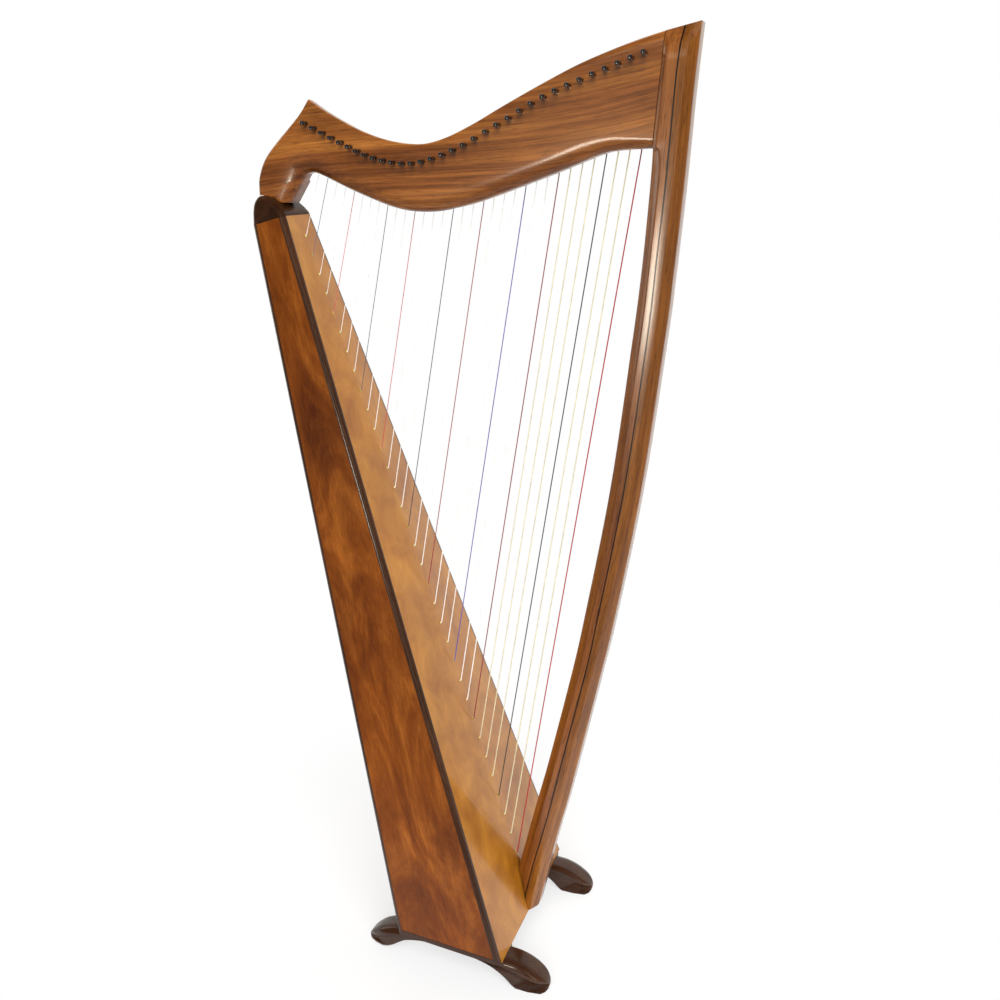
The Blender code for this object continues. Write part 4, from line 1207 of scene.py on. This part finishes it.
def ring_mesh(name, profile, sides):
    edit = bmesh.new()
    loops = []
    for k in range(sides):
        turn = 2 * math.pi * k / sides
        loops.append([edit.verts.new((r * math.cos(turn), r * math.sin(turn), h))
                      for r, h in profile[:-1]])
    for k in range(sides):
        a, b = loops[k], loops[(k + 1) % sides]
        for j in range(len(a)):
            i = (j + 1) % len(a)
            edit.faces.new((a[j], b[j], b[i], a[i]))
    bmesh.ops.recalc_face_normals(edit, faces=edit.faces)
    mesh = bpy.data.meshes.new(name)
    edit.to_mesh(mesh)
    edit.free()
    mesh.shade_smooth()
    return mesh


eyelet_mesh = ring_mesh("eyelet", eyelet_profile, 16)
eyelet_mesh.materials.append(BRASS)


def pin_mesh_made():
    """A tuning pin: squared, slightly tapered drive end, round shank, eased string end."""
    edit = bmesh.new()
    sides = 24

    def ring(radius, along, square):
        made = []
        for k in range(sides):
            turn = 2 * math.pi * (k + 0.5) / sides
            c, s = math.cos(turn), math.sin(turn)
            # A superellipse goes from round to squared.
            power = lerp(2.0, 6.0, square)
            r = radius / (abs(c) ** power + abs(s) ** power) ** (1 / power)
            made.append(edit.verts.new((r * c, along, r * s)))
        return made

    stations = [(0.0012, -0.0330, 0.2), (0.0021, -0.0327, 0.3), (0.0028, -0.0320, 0.4),
                (0.0031, -0.0305, 0.5), (0.0031, -0.0262, 0.5), (0.0027, -0.0256, 0.3),
                (0.0027, -0.0250, 0.1), (0.0032, -0.0244, 0.0), (0.0032, -0.0205, 0.0),
                (0.00312, -0.0200, 0.0), (0.0032, -0.0195, 0.0), (0.0032, 0.0240, 0.0), (0.0032, 0.0372, 0.0),
                (0.0029, 0.0379, 0.0), (0.0016, 0.0380, 0.0)]
    rings = [ring(*station) for station in stations]
    for low, high in zip(rings, rings[1:]):
        for k in range(sides):
            j = (k + 1) % sides
            edit.faces.new((low[k], low[j], high[j], high[k]))
    edit.faces.new(rings[0])
    edit.faces.new(list(reversed(rings[-1])))
    bmesh.ops.recalc_face_normals(edit, faces=edit.faces)
    mesh = bpy.data.meshes.new("tuning_pin_shaped")
    edit.to_mesh(mesh)
    edit.free()
    mesh.shade_smooth()
    mesh.set_sharp_from_angle(angle=math.radians(40))
    mesh.materials.append(PIN_METAL)
    return mesh


pin_mesh = pin_mesh_made()
bridge_profile = [(0.0, 0.0), (0.0014, 0.0), (0.0014, 0.0072), (0.0010, 0.0078), (0.0010, 0.0088),
                  (0.0014, 0.0094), (0.0014, 0.0106), (0.0009, 0.0110), (0.0, 0.0110)]

for set_name, first, last in SETS:
    for i in range(first, last):
        number = i + 1
        knot, low, bridge, end, pin_at, side = string_run(i)
        px, pz = PIN_POINTS[i]
        radius = string_radius(i)
        if number in coloured:
            mat = coloured[number]
        elif number >= 27:
            mat = cream
        else:
            mat = clear
        at = eyelet(i)
        direction = (bridge - low).normalized()
        # A short curve where the string leaves its eyelet, a short one at the bridge pin.
        points = [knot, at - BOARD_NORMAL * 0.002, at + BOARD_NORMAL * 0.0012]
        bend = at + BOARD_NORMAL * 0.0022
        points += [bend + direction * 0.0005, bend + direction * 0.002, bend + direction * 0.006]
        points += [bridge - direction * 0.004, bridge, end]
        string = tube("string_%02d" % number, points, radius, mat)
        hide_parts(set_name)
        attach(string, HARP)
        # The winding turns with its pin.
        turns = 3.5
        coil = []
        coil_radius = PIN_RADIUS + radius + 0.0001
        steps = int(turns * 14)
        for k in range(steps + 1):
            angle = -2 * math.pi * k / 14
            coil.append((px + coil_radius * math.cos(angle),
                         0.0292 + 2.1 * radius * k / 14,
                         pz + coil_radius * math.sin(angle)))
        winding = tube("winding_%02d" % number, coil, radius, mat, resolution=2)
        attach(winding, "tuning_pin_%02d" % number)
        pin = new_object("tuning_pin_%02d_shaped" % number, pin_mesh)
        pin.location = (px + X_SHIFT, 0.0, pz)
        bpy.context.view_layer.update()
        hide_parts("tuning_pin_%02d" % number)
        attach(pin, "tuning_pin_%02d" % number)
        ring = new_object("eyelet_%02d" % number, eyelet_mesh)
        ring.matrix_world = Matrix.Translation((at.x + X_SHIFT, 0.0, at.z)) @ tilt
        bpy.context.view_layer.update()
        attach(ring, HARP)
        post = lathe("bridge_pin_%02d" % number, bridge_profile, 14,
                     Matrix.Translation((pin_at.x + X_SHIFT, NECK_HALF - 0.0005, pin_at.z))
                     @ Matrix.Rotation(math.radians(-90), 4, "X"))
        dress(post, STEEL)
        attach(post, HARP)

# ---------------------------------------------------------------- CAD pieces that stay
for name, mat in (("bottom_board", DARK_WOOD_CAD), ("base_block", INNER_WOOD),
                  ("string_rib", INNER_WOOD), ("back_brace_upper", INNER_WOOD),
                  ("back_brace_middle", INNER_WOOD), ("back_brace_lower", INNER_WOOD),
                  ("pillar_bolt", STEEL)):
    obj = NODES[name]
    for k in range(max(len(obj.material_slots), 1)):
        if k < len(obj.material_slots):
            obj.material_slots[k].material = mat
        else:
            obj.data.materials.append(mat)

# ---------------------------------------------------------------- floor, lights, surroundings
floor_mesh = bpy.data.meshes.new("floor")
edit = bmesh.new()
bmesh.ops.create_grid(edit, x_segments=1, y_segments=1, size=40.0)
edit.to_mesh(floor_mesh)
edit.free()
floor = new_object("floor", floor_mesh)
floor.location.z = -0.0002
paper = bpy.data.materials.new("floor_paper")
paper.use_nodes = True
tree = paper.node_tree
shader = tree.nodes["Principled BSDF"]
shader.inputs["Roughness"].default_value = 0.8
shader.inputs["Specular IOR Level"].default_value = 0.1
coord = tree.nodes.new("ShaderNodeTexCoord")
paper_noise = tree.nodes.new("ShaderNodeTexNoise")
paper_noise.inputs["Scale"].default_value = 1.2
tree.links.new(coord.outputs["Object"], paper_noise.inputs["Vector"])
paper_ramp = tree.nodes.new("ShaderNodeValToRGB")
paper_ramp.color_ramp.elements[0].color = (0.88, 0.89, 0.90, 1)
paper_ramp.color_ramp.elements[1].color = (0.92, 0.92, 0.92, 1)
tree.links.new(paper_noise.outputs["Fac"], paper_ramp.inputs["Fac"])
tree.links.new(paper_ramp.outputs["Color"], shader.inputs["Base Color"])
# Far from the harp the paper runs out into the white of the studio.
length = tree.nodes.new("ShaderNodeVectorMath")
length.operation = "LENGTH"
tree.links.new(coord.outputs["Object"], length.inputs[0])
fade = tree.nodes.new("ShaderNodeMapRange")
fade.interpolation_type = "SMOOTHSTEP"
fade.inputs["From Min"].default_value = 0.25
fade.inputs["From Max"].default_value = 0.80
fade.inputs["To Min"].default_value = 0.62
tree.links.new(length.outputs["Value"], fade.inputs["Value"])
seen = tree.nodes.new("ShaderNodeLightPath")
both = tree.nodes.new("ShaderNodeMath")
both.operation = "MULTIPLY"
tree.links.new(fade.outputs["Result"], both.inputs[0])
tree.links.new(seen.outputs["Is Camera Ray"], both.inputs[1])
white = tree.nodes.new("ShaderNodeEmission")
white.inputs["Strength"].default_value = 1.0
# The pale paper lies behind and under the harp; on the camera's side the room's floor is dim.
dim = tree.nodes.new("ShaderNodeBsdfDiffuse")
place = tree.nodes.new("ShaderNodeSeparateXYZ")
tree.links.new(coord.outputs["Object"], place.inputs[0])
tone = tree.nodes.new("ShaderNodeMapRange")
tone.interpolation_type = "SMOOTHSTEP"
tone.inputs["From Min"].default_value = -0.9
tone.inputs["From Max"].default_value = -0.2
tone.inputs["To Min"].default_value = 0.20
tone.inputs["To Max"].default_value = 0.85
tree.links.new(place.outputs["Y"], tone.inputs["Value"])
grey = tree.nodes.new("ShaderNodeCombineColor")
for k in range(3):
    tree.links.new(tone.outputs["Result"], grey.inputs[k])
tree.links.new(grey.outputs[0], dim.inputs["Color"])
first = tree.nodes.new("ShaderNodeMixShader")
tree.links.new(seen.outputs["Is Camera Ray"], first.inputs["Fac"])
tree.links.new(dim.outputs[0], first.inputs[1])
tree.links.new(shader.outputs[0], first.inputs[2])
second = tree.nodes.new("ShaderNodeMixShader")
tree.links.new(both.outputs[0], second.inputs["Fac"])
tree.links.new(first.outputs[0], second.inputs[1])
tree.links.new(white.outputs[0], second.inputs[2])
tree.links.new(second.outputs[0], tree.nodes["Material Output"].inputs["Surface"])
floor_mesh.materials.append(paper)

world = bpy.data.worlds.new("studio")
bpy.context.scene.world = world
world.use_nodes = True
tree = world.node_tree
tree.nodes.clear()
out = tree.nodes.new("ShaderNodeOutputWorld")
seen = tree.nodes.new("ShaderNodeBackground")
seen.inputs["Color"].default_value = (1.0, 1.0, 1.0, 1.0)
seen.inputs["Strength"].default_value = 1.0
around = tree.nodes.new("ShaderNodeBackground")
around.inputs["Color"].default_value = (1.0, 0.965, 0.91, 1.0)
direction = tree.nodes.new("ShaderNodeTexCoord")
parts = tree.nodes.new("ShaderNodeSeparateXYZ")
tree.links.new(direction.outputs["Generated"], parts.inputs[0])
# The white backdrop is behind the harp; the room on the camera's side is dimmer.
level = tree.nodes.new("ShaderNodeMapRange")
level.interpolation_type = "SMOOTHSTEP"
level.inputs["From Min"].default_value = -0.30
level.inputs["From Max"].default_value = 0.55
level.inputs["To Min"].default_value = 0.10
level.inputs["To Max"].default_value = 1.0
tree.links.new(parts.outputs["Y"], level.inputs["Value"])
tree.links.new(level.outputs["Result"], around.inputs["Strength"])
path = tree.nodes.new("ShaderNodeLightPath")
pick = tree.nodes.new("ShaderNodeMixShader")
tree.links.new(path.outputs["Is Camera Ray"], pick.inputs["Fac"])
tree.links.new(around.outputs[0], pick.inputs[1])
tree.links.new(seen.outputs[0], pick.inputs[2])
tree.links.new(pick.outputs[0], out.inputs["Surface"])


def area_light(name, at, towards, size, power, colour=(1, 1, 1)):
    data = bpy.data.lights.new(name, "AREA")
    data.shape = "RECTANGLE"
    data.size, data.size_y = size
    data.energy = power
    data.color = colour
    obj = bpy.data.objects.new(name, data)
    bpy.context.scene.collection.objects.link(obj)
    obj.location = at
    obj.rotation_euler = (Vector(towards) - Vector(at)).to_track_quat("-Z", "Y").to_euler()
    return obj


# A broad even light from the camera's right for the colours, and three soft boxes that only
# show as highlights in the lacquer.
sun_data = bpy.data.lights.new("daylight", "SUN")
sun_data.energy = 4.0
sun_data.angle = math.radians(60)
sun = bpy.data.objects.new("daylight", sun_data)
bpy.context.scene.collection.objects.link(sun)
sun.rotation_euler = Vector((-0.35, 0.70, -0.62)).to_track_quat("-Z", "Y").to_euler()
sun.visible_glossy = False
WARM = (1.0, 0.90, 0.74)
for lamp in (area_light("front_box", (-0.38, -2.6, 0.84), (0.25, 0.0, 1.10), (0.34, 0.46), 17, WARM),
             area_light("upper_box", (-0.35, -2.3, 2.1), (0.1, 0.0, 0.3), (1.0, 0.4), 2.5, WARM),
             area_light("left_box", (-3.0, -0.3, 1.5), (-0.2, 0.0, 0.9), (0.4, 2.2), 9, WARM),
             area_light("right_box", (1.9, -2.6, 1.4), (-0.1, 0.0, 1.0), (0.10, 2.6), 10, WARM)):
    lamp.visible_diffuse = False
